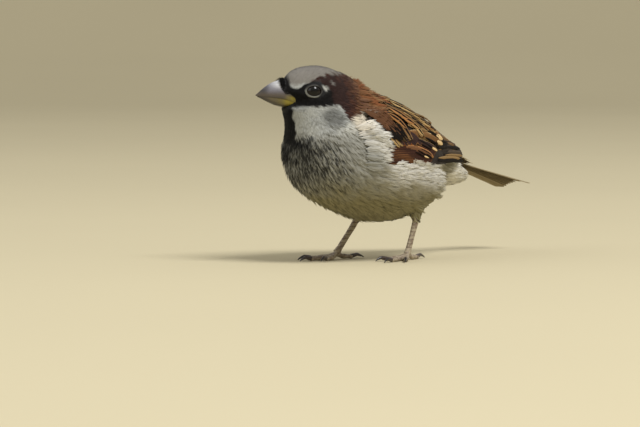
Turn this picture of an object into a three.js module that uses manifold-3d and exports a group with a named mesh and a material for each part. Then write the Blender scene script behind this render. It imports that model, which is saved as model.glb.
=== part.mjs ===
// A cock house sparrow, life size, standing at ease with its head turned to its right.
// Millimetres, +Z up. The bird faces -Y, its left side is +X, and the floor is z = 0.
// Head, neck and trunk are one plumage surface, parted by thin cuts; bill, eyes, wings,
// tail, legs, toes and claws are pieces of their own that meet it.
import * as THREE from "three";
import { LoftGeometry } from "three/addons/geometries/LoftGeometry.js";
import { mergeVertices } from "three/addons/utils/BufferGeometryUtils.js";
import Module from "manifold-3d";

const wasm = await Module();
wasm.setup();

// ---------------------------------------------------------------- driving dimensions
const GAP = 0.3; // clearance between pieces that meet
const HEAD_TURN = -30; // degrees about Z; the head looks to the bird's right
const HEAD_CENTRE = new THREE.Vector3(-3.8, -29, 61.6);
const FACE_FRONT = 10.5; // where the forehead's feathers end, forward of the head's centre
const BILL_LENGTH = 11.4; // from there to the tip
const EYE_RADIUS = 3.7; // the whole eyeball; lids leave less of it showing
const WING_THICKNESS = 1.1;
const TAIL_LENGTH = 56;
const TAIL_TIP_Y = 84;
const TAIL_TIP_Z = 26.6;
const TAIL_SLOPE = 10.5; // degrees below level
const TARSUS_RADIUS = 1.05;
const TOE_RADIUS = 0.95;
const SOLE = 0.8; // height of a toe's centre line over the floor

// ---------------------------------------------------------------- small helpers
const radians = THREE.MathUtils.degToRad;
const mix = THREE.MathUtils.lerp;
const X_AXIS = new THREE.Vector3(1, 0, 0);
const Z_AXIS = new THREE.Vector3(0, 0, 1);

// A closed geometry as a solid. Triangles that collapsed at a pole are left out.
function solidOf(geometry) {
  const bare = new THREE.BufferGeometry().copy(geometry);
  bare.deleteAttribute("normal");
  bare.deleteAttribute("uv");
  const merged = mergeVertices(bare, 1e-4);
  const corners = merged.index.array;
  const kept = [];
  for (let i = 0; i < corners.length; i += 3) {
    const [a, b, c] = corners.slice(i, i + 3);
    if (a !== b && b !== c && c !== a) kept.push(a, b, c);
  }
  return new wasm.Manifold(
    new wasm.Mesh({
      numProp: 3,
      vertProperties: Float32Array.from(merged.attributes.position.array),
      triVerts: Uint32Array.from(kept),
    }),
  );
}

// A solid back as a geometry.
function geometryOf(solid) {
  const mesh = solid.getMesh();
  const geometry = new THREE.BufferGeometry();
  const places = Float32Array.from(mesh.vertProperties);
  const corners = Uint32Array.from(mesh.triVerts);
  geometry.setAttribute("position", new THREE.BufferAttribute(places, 3));
  geometry.setIndex(new THREE.BufferAttribute(corners, 1));
  geometry.computeVertexNormals();
  return geometry;
}

// The biggest of the pieces that a cut leaves.
function largest(solid) {
  return solid.decompose().sort((a, b) => b.volume() - a.volume())[0];
}

// The mirror image of a geometry across the plane X = 0.
function mirrored(geometry) {
  const copy = geometry.clone().scale(-1, 1, 1);
  const corners = copy.index.array;
  for (let i = 0; i < corners.length; i += 3) {
    [corners[i + 1], corners[i + 2]] = [corners[i + 2], corners[i + 1]];
  }
  copy.computeVertexNormals();
  return copy;
}

// A smooth curve through a few values, read at any share of its length.
function profile(...values) {
  const curve = new THREE.CatmullRomCurve3(
    values.map((value, i) => new THREE.Vector3(i / (values.length - 1), value, 0)),
    false,
    "catmullrom",
    0.5,
  );
  return (share) => curve.getPoint(THREE.MathUtils.clamp(share, 0, 1)).y;
}

// ---------------------------------------------------------------- finishes
const finish = (colour, roughness) =>
  new THREE.MeshStandardMaterial({ color: colour, roughness, metalness: 0 });
const chestnut = finish(0x4a2c22, 0.85);
const pale = finish(0xa9a698, 0.9);
const brown = finish(0x6b4a30, 0.85);
const dusk = finish(0x5b4d3d, 0.85);
const horn = finish(0x7b7f88, 0.4);
const dark = finish(0x0d0a09, 0.1);
const scaly = finish(0x6e4f43, 0.6);
const claw = finish(0x2c2321, 0.4);

const bird = new THREE.Group();

function addPiece(name, geometry, material) {
  const mesh = new THREE.Mesh(geometry, material);
  mesh.name = name;
  bird.add(mesh);
}

// ---------------------------------------------------------------- plumage surface
// The plumage is a smooth union of lobes. Each lobe is an ellipsoid with a centre, its
// half sizes across, along and up, and a turn: pitch lifts its front, yaw swings it.
function lobe(centre, half, pitch, yaw = 0) {
  const turn = new THREE.Euler(radians(-pitch), 0, radians(yaw), "ZYX");
  const inverse = new THREE.Matrix4().makeRotationFromEuler(turn).invert();
  const local = new THREE.Vector3();
  const scaled = new THREE.Vector3();
  return (point) => {
    local.copy(point).sub(centre).applyMatrix4(inverse);
    scaled.set(local.x / half[0], local.y / half[1], local.z / half[2]);
    const reach = scaled.length();
    scaled.set(scaled.x / half[0], scaled.y / half[1], scaled.z / half[2]);
    return (reach * (reach - 1)) / Math.max(scaled.length(), 1e-9);
  };
}

// A point given in the head: to its left, forward to the bill, and up from its centre.
function inHead(left, forward, up) {
  const point = new THREE.Vector3(left, -forward, up);
  return point.applyAxisAngle(Z_AXIS, radians(HEAD_TURN)).add(HEAD_CENTRE);
}

function headLobe(left, forward, up, half) {
  return lobe(inHead(left, forward, up), half, 0, HEAD_TURN);
}

function bodyLobe(along, up, half, pitch) {
  return lobe(new THREE.Vector3(0, along, up), half, pitch);
}

const HEAD_LOBES = [
  headLobe(0, -2.0, 1.45, [9.0, 11.0, 9.9]), // crown
  headLobe(0, 5.4, 2.7, [5.8, 6.3, 6.7]), // forehead
  headLobe(0, 5.5, -2.5, [5.2, 7.0, 5.6]), // lores and chin
  headLobe(4.2, -2.0, -4.0, [5.6, 8.5, 6.5]), // left cheek
  headLobe(-4.2, -2.0, -4.0, [5.6, 8.5, 6.5]), // right cheek
];
const BODY_LOBES = [
  lobe(new THREE.Vector3(-4.3, -30.8, 54), [8.5, 8.0, 8.5], 0, HEAD_TURN), // throat
  lobe(new THREE.Vector3(-1, -17, 59), [10.5, 12, 10.5], 25, -12), // nape
  bodyLobe(-19.7, 40.7, [21.0, 21, 20.5], 10), // breast
  bodyLobe(-1, 36, [22.5, 32.5, 21.5], 13), // belly and flanks
  bodyLobe(4, 45.5, [16.5, 29, 13], 24), // mantle
  bodyLobe(28, 36.8, [10.5, 22, 8.5], 20), // rump
  bodyLobe(36, 32, [7.0, 21, 5.0], 8), // undertail coverts
  lobe(new THREE.Vector3(9.5, 13, 29), [8.5, 12.5, 9.5], 10), // left flank's loose feathers
  lobe(new THREE.Vector3(-9.5, 13, 29), [8.5, 12.5, 9.5], 10), // and the right one's
];
const LOBES = [...HEAD_LOBES, ...BODY_LOBES];
const BLEND = 5; // how softly one lobe runs into the next

// Distance-like value of the plumage: negative inside, zero on the surface.
function plumage(point) {
  let value = Infinity;
  for (const distance of LOBES) {
    const other = distance(point);
    const overlap = Math.max(BLEND - Math.abs(value - other), 0) / BLEND;
    value = Math.min(value, other) - (overlap * overlap * BLEND) / 4;
  }
  return value;
}

// How far from a start point, going outwards, the plumage (grown by a margin) ends.
function reachOf(start, direction, margin) {
  const STEP = 1.5;
  const FAR = 90;
  const point = new THREE.Vector3();
  const inside = (reach) => plumage(point.copy(direction).multiplyScalar(reach).add(start)) < margin;
  let outer = FAR;
  while (outer > STEP && !inside(outer - STEP)) outer -= STEP;
  let low = outer - STEP;
  let high = outer;
  for (let i = 0; i < 16; i++) {
    const middle = (low + high) / 2;
    if (inside(middle)) low = middle;
    else high = middle;
  }
  return low;
}

// A ball whose every corner is moved out to the plumage. The ball is drawn out along
// the body first, so that its triangles are spread evenly.
function plumageFrom(centre, detail, stretch, margin = 0) {
  const geometry = mergeVertices(
    new THREE.IcosahedronGeometry(1, detail).deleteAttribute("normal").deleteAttribute("uv"),
    1e-5,
  );
  const corners = geometry.attributes.position;
  const direction = new THREE.Vector3();
  for (let i = 0; i < corners.count; i++) {
    direction.fromBufferAttribute(corners, i).multiply(stretch).normalize();
    const reach = reachOf(centre, direction, margin);
    corners.setXYZ(i, ...direction.multiplyScalar(reach).add(centre).toArray());
  }
  return solidOf(geometry);
}

// Everything below a sloping plane through a point, as a large block.
function below(point, normal) {
  const SIZE = 300;
  const block = new THREE.BoxGeometry(SIZE, SIZE, SIZE).translate(0, 0, -SIZE / 2);
  block.applyQuaternion(new THREE.Quaternion().setFromUnitVectors(Z_AXIS, normal));
  return solidOf(block.translate(...point.toArray()));
}

const NECK_NORMAL = new THREE.Vector3(-0.1, -0.62, 0.78).normalize();
const NECK_TOP = new THREE.Vector3(-4, -26, 55);
const NECK_DEPTH = 6.5;
const NECK_FOOT = NECK_TOP.clone().addScaledVector(NECK_NORMAL, -NECK_DEPTH);
const HEAD_BALL = new THREE.Vector3(1, 1.1, 1);
const TRUNK_CENTRE = new THREE.Vector3(0, 9, 36.5);
const TRUNK_BALL = new THREE.Vector3(1, 1.8, 1.05);
const NECK_CENTRE = new THREE.Vector3(-2, -24, 52);

const HEAD_DETAIL = 8; // how many times a ball's triangles are divided
const TRUNK_DETAIL = 9;
const NECK_DETAIL = 6;

const skull = HEAD_CENTRE.clone().add(new THREE.Vector3(0, 0, -1));
const headWhole = plumageFrom(skull, HEAD_DETAIL, HEAD_BALL);
const headGrown = plumageFrom(skull, HEAD_DETAIL, HEAD_BALL, GAP);
const trunkWhole = plumageFrom(TRUNK_CENTRE, TRUNK_DETAIL, TRUNK_BALL);
const trunkGrown = plumageFrom(TRUNK_CENTRE, TRUNK_DETAIL, TRUNK_BALL, GAP);
const neckWhole = plumageFrom(NECK_CENTRE, NECK_DETAIL, new THREE.Vector3(1, 1, 1));

const cutBelow = (level) => below(level, NECK_NORMAL);
const raised = (level) => level.clone().addScaledVector(NECK_NORMAL, GAP);

// ---------------------------------------------------------------- eyes
const EYE_FORWARD = 1.5;
const EYE_UP = 1.3;
const EYE_SIDE = 5.9; // from the head's middle to the middle of the eyeball
const eyeCentres = {
  left: inHead(EYE_SIDE, EYE_FORWARD, EYE_UP),
  right: inHead(-EYE_SIDE, EYE_FORWARD, EYE_UP),
};

function eyeBall(centre, radius) {
  return new THREE.IcosahedronGeometry(radius, 3).translate(...centre.toArray());
}

let headSolid = headWhole.subtract(cutBelow(raised(NECK_TOP)));
for (const [side, centre] of Object.entries(eyeCentres)) {
  headSolid = headSolid.subtract(solidOf(eyeBall(centre, EYE_RADIUS + GAP)));
  addPiece(`eye_${side}`, eyeBall(centre, EYE_RADIUS), dark);
}
addPiece("head", geometryOf(largest(headSolid)), chestnut);
addPiece(
  "neck",
  geometryOf(largest(neckWhole.intersect(cutBelow(NECK_TOP)).subtract(cutBelow(raised(NECK_FOOT))))),
  chestnut,
);

// ---------------------------------------------------------------- bill
// Both halves are lofts from inside the face to the tip, trimmed where the feathers end.
const BILL_ROOT = 5; // where the lofts start, forward of the head's centre
const BILL_TIP = FACE_FRONT + BILL_LENGTH;
const BILL_HOOK = 0.7; // how far the upper half reaches past the lower
const billTop = profile(6.4, 5.9, 4.7, 2.9, 0.3); // culmen over the head's centre, root to tip
const biteLine = profile(-2.2, -1.5, -0.9, -0.5, -0.4); // where the two halves meet
const billBottom = profile(-6.0, -5.6, -4.5, -2.7, -0.7);
const billWidth = profile(4.6, 4.2, 3.2, 1.9, 0.35); // half width at the bite line
const BILL_EDGE = 0.35; // least depth of either half, at the tip

function billHalf(isUpper, length) {
  const ROWS = 10;
  const SIDES = 10;
  const sections = [];
  for (let i = 0; i <= ROWS; i++) {
    const share = i / ROWS;
    const forward = mix(BILL_ROOT, length, share);
    const bite = biteLine(share) + (isUpper ? GAP / 2 : -GAP / 2);
    const edge = isUpper
      ? Math.max(billTop(share), bite + BILL_EDGE)
      : Math.min(billBottom(share), bite - BILL_EDGE);
    const section = [];
    for (let j = 0; j <= SIDES; j++) {
      const angle = (Math.PI * j) / SIDES;
      const across = billWidth(share) * Math.cos(angle);
      const rise = (edge - bite) * Math.pow(Math.sin(angle), 0.85);
      section.push(inHead(isUpper ? across : -across, forward, bite + rise));
    }
    sections.push(section);
  }
  return solidOf(new LoftGeometry(sections, { capStart: true, capEnd: true }));
}

addPiece("bill_upper", geometryOf(largest(billHalf(true, BILL_TIP).subtract(headGrown))), horn);
addPiece("bill_lower", geometryOf(largest(billHalf(false, BILL_TIP - BILL_HOOK).subtract(headGrown))), horn);

// ---------------------------------------------------------------- wings
// A folded wing is a shell that lies on the flank in front and is free behind. Each
// station runs from its upper edge on the back to its lower edge on the flank.
const wingAlong = profile(-24, -18, -8, 5, 19, 32, 41, 46);
const wingUpperX = profile(4, 4, 4, 4, 3.4, 2.0, 2.4, 4.0);
const wingUpperZ = profile(52.5, 55.2, 56.3, 54.9, 51.3, 46.9, 43.2, 40.7);
const wingLowerX = profile(4, 8, 14, 17, 17, 13.5, 9, 6.0);
const wingLowerZ = profile(49.5, 45, 39.5, 35.8, 35.0, 35.3, 36.2, 37.6);
const wingBulge = profile(1, 2, 3, 4, 4, 2.8, 1.4, 0.4);
const WING_OVER = 1.35; // how far the wing's outer side stands over the flank's feathers
const WING_CLEAR = 0.5; // and its inner side

// Where a level line from the midline meets the plumage grown by a margin, or 0 above it.
function flankAt(along, up, margin) {
  const start = new THREE.Vector3(0, along, up);
  return plumage(start) < margin ? reachOf(start, X_AXIS, margin) : 0;
}

// The outer and the inner point of the wing at a share of its length and of its width.
function wingPair(share, down) {
  const upper = new THREE.Vector2(wingUpperX(share), wingUpperZ(share));
  const lower = new THREE.Vector2(wingLowerX(share), wingLowerZ(share));
  const point = upper.clone().lerp(lower, down);
  const outward = lower.clone().sub(upper).rotateAround(new THREE.Vector2(), Math.PI / 2).normalize();
  point.addScaledVector(outward, wingBulge(share) * 4 * down * (1 - down));
  const along = wingAlong(share);
  const outer = Math.max(point.x, flankAt(along, point.y, WING_OVER));
  const inner = Math.max(outer - WING_THICKNESS, flankAt(along, point.y, WING_CLEAR));
  return [new THREE.Vector3(outer, along, point.y), new THREE.Vector3(inner, along, point.y)];
}

function foldedWing() {
  const ROWS = 19;
  const ACROSS = 6;
  const sections = [];
  for (let i = 0; i <= ROWS; i++) {
    const pairs = Array.from({ length: ACROSS + 1 }, (_, j) => wingPair(i / ROWS, j / ACROSS));
    const outer = pairs.map((pair) => pair[0]);
    const inner = pairs.map((pair) => pair[1]).reverse();
    sections.push([...outer, ...inner]);
  }
  return solidOf(new LoftGeometry(sections, { capStart: true, capEnd: true }));
}

const wing = geometryOf(foldedWing());
addPiece("wing_left", wing, brown);
addPiece("wing_right", mirrored(wing), brown);

// ---------------------------------------------------------------- tail
// Twelve feathers folded into one narrow fan, a little roofed and notched at the end.
const tailWidth = profile(3.5, 4.6, 6.0, 7.4, 8.2); // half width, root to tip
const tailDepth = profile(1.5, 1.4, 1.15, 0.85, 0.5); // half thickness
const TAIL_NOTCH = 2.5;
const TAIL_CORNER = 1.6; // how far the outer feathers' corners are rounded off
const TAIL_ROOF = 1.2; // how far the outer feathers hang below the middle pair
const TAIL_TWIST = 2.4; // how far its right corner hangs below its left one
const TAIL_FLATNESS = 0.7; // under 1 squares the section off

function squared(value) {
  return Math.sign(value) * Math.pow(Math.abs(value), TAIL_FLATNESS);
}

function foldedTail() {
  const ROWS = 12;
  const SIDES = 20;
  const back = new THREE.Vector3(0, Math.cos(radians(TAIL_SLOPE)), -Math.sin(radians(TAIL_SLOPE)));
  const up = new THREE.Vector3(0, -back.z, back.y);
  const tip = new THREE.Vector3(0, TAIL_TIP_Y, TAIL_TIP_Z);
  const sections = [];
  for (let i = 0; i <= ROWS; i++) {
    const share = i / ROWS;
    const section = [];
    for (let j = 0; j < SIDES; j++) {
      const angle = (2 * Math.PI * j) / SIDES;
      const side = squared(Math.cos(angle));
      const height = squared(Math.sin(angle));
      const notch = TAIL_NOTCH * (1 - side * side) + TAIL_CORNER * Math.pow(side, 6);
      const length = TAIL_LENGTH * (1 - share) + notch * share;
      const point = tip.clone().addScaledVector(back, -length);
      point.addScaledVector(X_AXIS, -side * tailWidth(share));
      const hang = TAIL_ROOF * side * side * share + (TAIL_TWIST * (side + 1) * share) / 2;
      point.addScaledVector(up, height * tailDepth(share) - hang);
      section.push(point);
    }
    sections.push(section);
  }
  return solidOf(new LoftGeometry(sections, { capStart: true, capEnd: true }));
}

addPiece("tail", geometryOf(largest(foldedTail().subtract(trunkGrown))), dusk);

// ---------------------------------------------------------------- legs
const UPRIGHT = 0.9; // a path steeper than this takes its side from X, not from Z

// A round rod along a path, with its own half width at each share of the way.
function rod(path, radiusAt, rows, sides, squash = 1) {
  const sections = [];
  for (let i = 0; i <= rows; i++) {
    const share = i / rows;
    const centre = path.getPoint(share);
    const tangent = path.getTangent(share);
    const reference = Math.abs(tangent.z) > UPRIGHT ? X_AXIS : Z_AXIS;
    const side = new THREE.Vector3().crossVectors(tangent, reference).normalize();
    const over = new THREE.Vector3().crossVectors(tangent, side);
    const section = [];
    for (let j = 0; j < sides; j++) {
      const angle = (2 * Math.PI * j) / sides;
      const point = centre.clone().addScaledVector(side, radiusAt(share) * Math.cos(angle));
      section.push(point.addScaledVector(over, radiusAt(share) * squash * Math.sin(angle)));
    }
    sections.push(section);
  }
  return solidOf(new LoftGeometry(sections, { capStart: true, capEnd: true }));
}

// Each toe: which way it points from the foot's heading, how far from the common joint
// its own piece begins, where the flesh ends and how long its claw is.
const TOES = {
  inner: { swing: -24, root: 4.9, length: 10.5, claw: 4.6 },
  middle: { swing: 0, root: 4.9, length: 13.5, claw: 5.2 },
  outer: { swing: 24, root: 4.9, length: 10.8, claw: 4.4 },
  hind: { swing: 180, root: 2.8, length: 8.2, claw: 6.4 },
};
const LEGS = {
  left: { foot: [11.2, 7.0], ankle: [12.2, 10.2, 13.4], hip: [12.4, 12.5, 22], heading: 14, outward: 1 },
  right: { foot: [-11.2, -7.4], ankle: [-10.6, 2.2, 13.0], hip: [-10.8, 7.5, 22], heading: -4, outward: -1 },
};
const FOOT_HEIGHT = 2.3; // the toes' common joint over the floor

const sockWidth = profile(4.6, 3.7, 2.6, 1.65);
const shankWidth = profile(1.3, 1.0, 0.92, 0.95, 1.2);
const floorBlock = below(new THREE.Vector3(), Z_AXIS);
const SOCK_ROWS = 5;
const SOCK_SIDES = 12;
const SHANK_ROWS = 6;
const SHANK_SIDES = 8;
const SHANK_SQUASH = 1.15; // the tarsus is a little deeper than wide
const TOE_SIDES = 7;
const ROOT_ROWS = 3;
const CLAW_ROWS = 4;
const CLAW_SIDES = 6;
const CLAW_ROOT = 0.62; // half width where the claw leaves the toe
const CLAW_TIP = 0.27;

// Adds one toe and its claw, and gives back the short root that belongs to the foot.
function addToe(side, name, toe, at) {
  const joints = toe.length > 12 ? 3 : 2;
  const pads = (share) => 0.1 * Math.cos(2 * Math.PI * joints * share);
  const thickness = (share) => TOE_RADIUS * (mix(1, 0.82, share) + pads(share));
  const path = new THREE.LineCurve3(at(toe.root + GAP, SOLE), at(toe.length, SOLE));
  const toeSolid = rod(path, thickness, joints * 3, TOE_SIDES).subtract(floorBlock);
  addPiece(`toe_${name}_${side}`, geometryOf(toeSolid), scaly);

  const clawStart = toe.length + GAP;
  const clawPath = new THREE.CatmullRomCurve3([
    at(clawStart, SOLE + 0.1),
    at(clawStart + toe.claw * 0.35, SOLE + 0.45),
    at(clawStart + toe.claw * 0.75, SOLE + 0.05),
    at(clawStart + toe.claw, CLAW_TIP),
  ]);
  const clawWidth = (share) => mix(CLAW_ROOT, CLAW_TIP, share);
  const clawSolid = rod(clawPath, clawWidth, CLAW_ROWS, CLAW_SIDES).subtract(floorBlock);
  addPiece(`claw_${name}_${side}`, geometryOf(clawSolid), claw);

  const rootPath = new THREE.CatmullRomCurve3([
    at(0, FOOT_HEIGHT),
    at(toe.root * 0.5, SOLE + 0.5),
    at(toe.root, SOLE),
  ]);
  return rod(rootPath, () => TOE_RADIUS * 1.08, ROOT_ROWS, TOE_SIDES);
}

function addLeg(side, leg) {
  const foot = new THREE.Vector3(...leg.foot, FOOT_HEIGHT);
  const ankle = new THREE.Vector3(...leg.ankle);
  const hip = new THREE.Vector3(...leg.hip);
  const sock = rod(new THREE.LineCurve3(hip, ankle), sockWidth, SOCK_ROWS, SOCK_SIDES);
  addPiece(`thigh_${side}`, geometryOf(largest(sock.subtract(trunkGrown))), pale);

  const downward = foot.clone().sub(ankle).normalize();
  const shin = new THREE.LineCurve3(ankle.clone().addScaledVector(downward, GAP * 2), foot);
  const shankRadius = (share) => TARSUS_RADIUS * shankWidth(share);
  let shank = rod(shin, shankRadius, SHANK_ROWS, SHANK_SIDES, SHANK_SQUASH);
  for (const [name, toe] of Object.entries(TOES)) {
    const turn = radians(leg.heading + toe.swing * leg.outward);
    const ahead = new THREE.Vector3(Math.sin(turn), -Math.cos(turn), 0);
    const at = (forward, height) => foot.clone().setZ(height).addScaledVector(ahead, forward);
    shank = shank.add(addToe(side, name, toe, at));
  }
  const sockGrown = rod(
    new THREE.LineCurve3(hip, ankle.clone().add(ankle.clone().sub(hip).setLength(GAP))),
    (share) => sockWidth(share) + GAP,
    SOCK_ROWS,
    SOCK_SIDES,
  );
  const footSolid = shank.subtract(sockGrown).subtract(floorBlock);
  addPiece(`tarsus_${side}`, geometryOf(largest(footSolid)), scaly);
}

for (const [side, leg] of Object.entries(LEGS)) addLeg(side, leg);

const trunkSolid = trunkWhole.intersect(cutBelow(NECK_FOOT));
addPiece("trunk", geometryOf(largest(trunkSolid)), pale);

// The origin is the middle of the footprint of the whole bird, on the floor.
const box = new THREE.Box3().setFromObject(bird);
const middle = box.getCenter(new THREE.Vector3());
bird.position.set(-middle.x, -middle.y, 0);

export default bird;
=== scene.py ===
# %% [markdown]
# # A cock house sparrow, life size
# A museum bird is built from the inside out: a smooth body first, then eyes, bill and feet,
# and at last the feathers, each laid over the one behind it. The solids that carry it all
# are loaded first and are never moved. Every length below is written in millimetres and
# turned into Blender's metres by MM.

# %% Load the frame
import math

import bpy
import numpy as np
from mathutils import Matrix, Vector
from mathutils.bvhtree import BVHTree
from mathutils.kdtree import KDTree


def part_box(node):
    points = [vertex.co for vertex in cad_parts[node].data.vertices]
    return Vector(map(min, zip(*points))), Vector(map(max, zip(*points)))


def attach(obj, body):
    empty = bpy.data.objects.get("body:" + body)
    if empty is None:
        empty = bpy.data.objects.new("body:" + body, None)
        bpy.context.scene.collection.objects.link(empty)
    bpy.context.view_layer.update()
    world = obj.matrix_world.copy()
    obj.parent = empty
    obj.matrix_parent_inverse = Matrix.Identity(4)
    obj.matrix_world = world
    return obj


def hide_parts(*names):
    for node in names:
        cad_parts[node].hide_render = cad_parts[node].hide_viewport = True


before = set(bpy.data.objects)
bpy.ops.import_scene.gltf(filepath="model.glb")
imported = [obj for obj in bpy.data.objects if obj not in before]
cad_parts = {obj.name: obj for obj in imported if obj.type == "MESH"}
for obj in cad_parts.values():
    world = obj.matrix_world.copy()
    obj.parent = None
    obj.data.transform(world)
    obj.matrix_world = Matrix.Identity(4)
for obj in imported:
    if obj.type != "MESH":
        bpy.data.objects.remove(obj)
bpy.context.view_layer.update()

MM = 0.001
RANDOM = np.random.default_rng(11)

# %% [markdown]
# ## Camera
# A long lens from a good distance keeps the bird's proportions true. The camera stands
# 42 degrees round from the bird's front towards its left side, barely above its feet.
# A camera looks along its own -Z, so its turn comes from the line to the point it aims at.

# %% Camera
VIEW_ROUND = math.radians(42)
VIEW_UP = math.radians(3)
VIEW_DISTANCE = 1317 * MM
AIM = Vector((-14.31, -30.13, 17.22)) * MM
LENS = 200

towards_camera = Vector((
    math.sin(VIEW_ROUND) * math.cos(VIEW_UP),
    -math.cos(VIEW_ROUND) * math.cos(VIEW_UP),
    math.sin(VIEW_UP),
))
bpy.ops.object.camera_add(location=AIM + towards_camera * VIEW_DISTANCE)
camera = bpy.context.object
camera.rotation_euler = towards_camera.to_track_quat("Z", "Y").to_euler()
camera.data.lens = LENS
camera.data.sensor_width = 36
camera.data.clip_start = 0.01
bpy.context.scene.camera = camera
bpy.context.scene.view_settings.view_transform = "Standard"
print("camera at", [round(c, 3) for c in camera.location])

# %% [markdown]
# ## Small helpers
# Most operators act on everything that is selected, so each step starts by selecting one
# object alone. Short functions cover that, the edit-mode steps and the modifiers.

# %% Helpers for objects


def take(piece):
    """Makes a piece the only selected object, and the active one."""
    bpy.ops.object.select_all(action="DESELECT")
    piece.select_set(True)
    bpy.context.view_layer.objects.active = piece
    return piece


def apply_modifiers(piece):
    take(piece)
    for modifier in list(piece.modifiers):
        bpy.ops.object.modifier_apply(modifier=modifier.name)
    return piece


def rows_of(values, field):
    """Vectors of a mesh as an array, a row for each."""
    rows = np.empty(len(values) * 3, np.float32)
    values.foreach_get(field, rows)
    return rows.reshape(-1, 3).astype(float)


def points_of(piece):
    return rows_of(piece.data.vertices, "co")


def normals_of(piece):
    return rows_of(piece.data.vertex_normals, "vector")


def set_points(piece, places):
    piece.data.vertices.foreach_set("co", np.asarray(places, np.float32).ravel())
    piece.data.update()


def joined(pieces, name):
    """Joins several objects into the first of them."""
    take(pieces[0])
    for piece in pieces:
        piece.select_set(True)
    bpy.ops.object.join()
    bpy.context.object.name = name
    bpy.context.object.data.name = name
    return bpy.context.object


def cleaned(piece, threshold, capped=False, outwards=True):
    """Merges the doubles of a piece, and can fill its holes and turn every face outwards."""
    take(piece)
    bpy.ops.object.mode_set(mode="EDIT")
    bpy.ops.mesh.select_all(action="SELECT")
    bpy.ops.mesh.remove_doubles(threshold=threshold)
    if capped:
        bpy.ops.mesh.fill_holes(sides=0)
        bpy.ops.mesh.select_all(action="SELECT")
    if outwards:
        bpy.ops.mesh.normals_make_consistent(inside=False)
    bpy.ops.object.mode_set(mode="OBJECT")
    return piece


def reshaped(piece, voxel=0, smoothing=0.5, rounds=0, outwards=0):
    """Remeshes a piece into one surface, smooths it and moves its faces outwards, each
    where it is asked for. Lengths are in metres."""
    if voxel:
        piece.modifiers.new("one_surface", "REMESH").voxel_size = voxel
    if rounds:
        smoother = piece.modifiers.new("smoother", "SMOOTH")
        smoother.factor = smoothing
        smoother.iterations = rounds
    if outwards:
        mover = piece.modifiers.new("mover", "DISPLACE")
        mover.strength = outwards
        mover.mid_level = 0
    return apply_modifiers(piece)


def merged_copy(node):
    """A copy of a solid with its loose triangles merged into one surface."""
    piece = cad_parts[node].copy()
    piece.data = piece.data.copy()
    piece.parent = None
    for key in list(piece.keys()):
        del piece[key]
    piece.data.materials.clear()
    bpy.context.scene.collection.objects.link(piece)
    piece.hide_render = False
    piece.hide_viewport = False
    piece.hide_set(False)
    return cleaned(piece, 0.002 * MM, outwards=False)


# %% [markdown]
# ## Where things are on the bird
# The head is turned, so places on it are given in its own directions: to its left, ahead
# towards the bill, and up. Both eyes are solids of the frame, and the line between them
# gives those directions.

# %% The head's own directions
def middle_of(node):
    low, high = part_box(node)
    return (low + high) / 2


EYES = {"left": middle_of("eye_left"), "right": middle_of("eye_right")}
EYE_RADIUS = (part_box("eye_left")[1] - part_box("eye_left")[0]).z / 2
UP = Vector((0, 0, 1))
LEFT = (EYES["left"] - EYES["right"]).normalized()
AHEAD = LEFT.cross(UP).normalized()
EYES_AHEAD_OF_MIDDLE = 1.5 * MM
EYES_OVER_MIDDLE = 1.3 * MM
HEAD = (EYES["left"] + EYES["right"]) / 2 - AHEAD * EYES_AHEAD_OF_MIDDLE - UP * EYES_OVER_MIDDLE
HEAD_AXES = [np.array(axis) for axis in (LEFT, AHEAD, UP)]


def in_head(left, ahead, up):
    """World places, as rows, of places given in the head in millimetres."""
    parts = np.broadcast_arrays(left, ahead, up)
    return sum(part[..., None] * axis for part, axis in zip(parts, HEAD_AXES)) * MM + np.array(HEAD)


def head_places(places):
    """The other way round: left, ahead and up in millimetres for world places."""
    offset = (places - np.array(HEAD)) / MM
    return offset @ HEAD_AXES[0], offset @ HEAD_AXES[1], offset[..., 2]


def smooth(value, start, end):
    """0 before start, 1 after end, and a soft step between. start may be the larger."""
    share = np.clip((value - start) / (end - start), 0, 1)
    return share * share * (3 - 2 * share)


def eased(value, at, levels, width):
    """A polyline of levels read with its corners rounded over a width."""
    offsets = np.linspace(-width, width, 9)
    return sum(np.interp(value + offset, at, levels) for offset in offsets) / len(offsets)


BILL_BASE = in_head(0.0, 6.0, -0.5)
print("head middle at", [round(c / MM, 1) for c in HEAD], "eye radius", round(EYE_RADIUS / MM, 2))

# %% [markdown]
# ## Bill outline
# The bill is told by a few curves in the head, each as places ahead and the values there:
# its ridge, its underside, the line where its halves meet and its half width. The skin
# needs them too, because the face narrows to meet the bill. The feathers reach furthest
# forward beside the ridge and stop short at the corner of the mouth.

# %% Bill curves
BILL_ROOT = 5.0
BILL_TIP = 21.4
LOWER_TIP = 20.7
CULMEN = ([5.0, 10.5, 12.1, 15.8, 18.4, 20.2, 21.4], [6.2, 5.8, 5.5, 4.2, 2.55, 1.1, 0.0])
GONYS = ([5.0, 11.8, 14.5, 17.6, 19.7, 20.7], [-4.8, -4.35, -3.65, -2.25, -1.15, -0.65])
BITE = ([5.0, 9.0, 10.6, 13.0, 17.0, 21.9], [-3.2, -2.1, -1.35, -0.9, -0.5, -0.35])
HALF_WIDTH = (
    [5.0, 9.0, 11.5, 14.0, 17.0, 19.5, 21.2, 21.9],
    [4.7, 4.3, 3.7, 2.9, 1.9, 1.0, 0.35, 0.12],
)
FEATHER_EDGE = (
    [-6.4, -4.8, -3.7, -2.6, -1.6, -0.4, 0.4, 2.5, 5.1, 6.6],
    [11.8, 11.1, 9.0, 8.6, 8.4, 9.3, 10.5, 11.8, 11.8, 11.3],
)

# %% [markdown]
# ## Colours and markings
# The markings of a cock sparrow are drawn once, as a function of place, and the skin and
# every feather take their colour from it. So a gap in the coat never shows a wrong colour.
# Edges are soft and a little ragged, which is what the noise is for: a sum of a few waves
# whose directions don't repeat.

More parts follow.
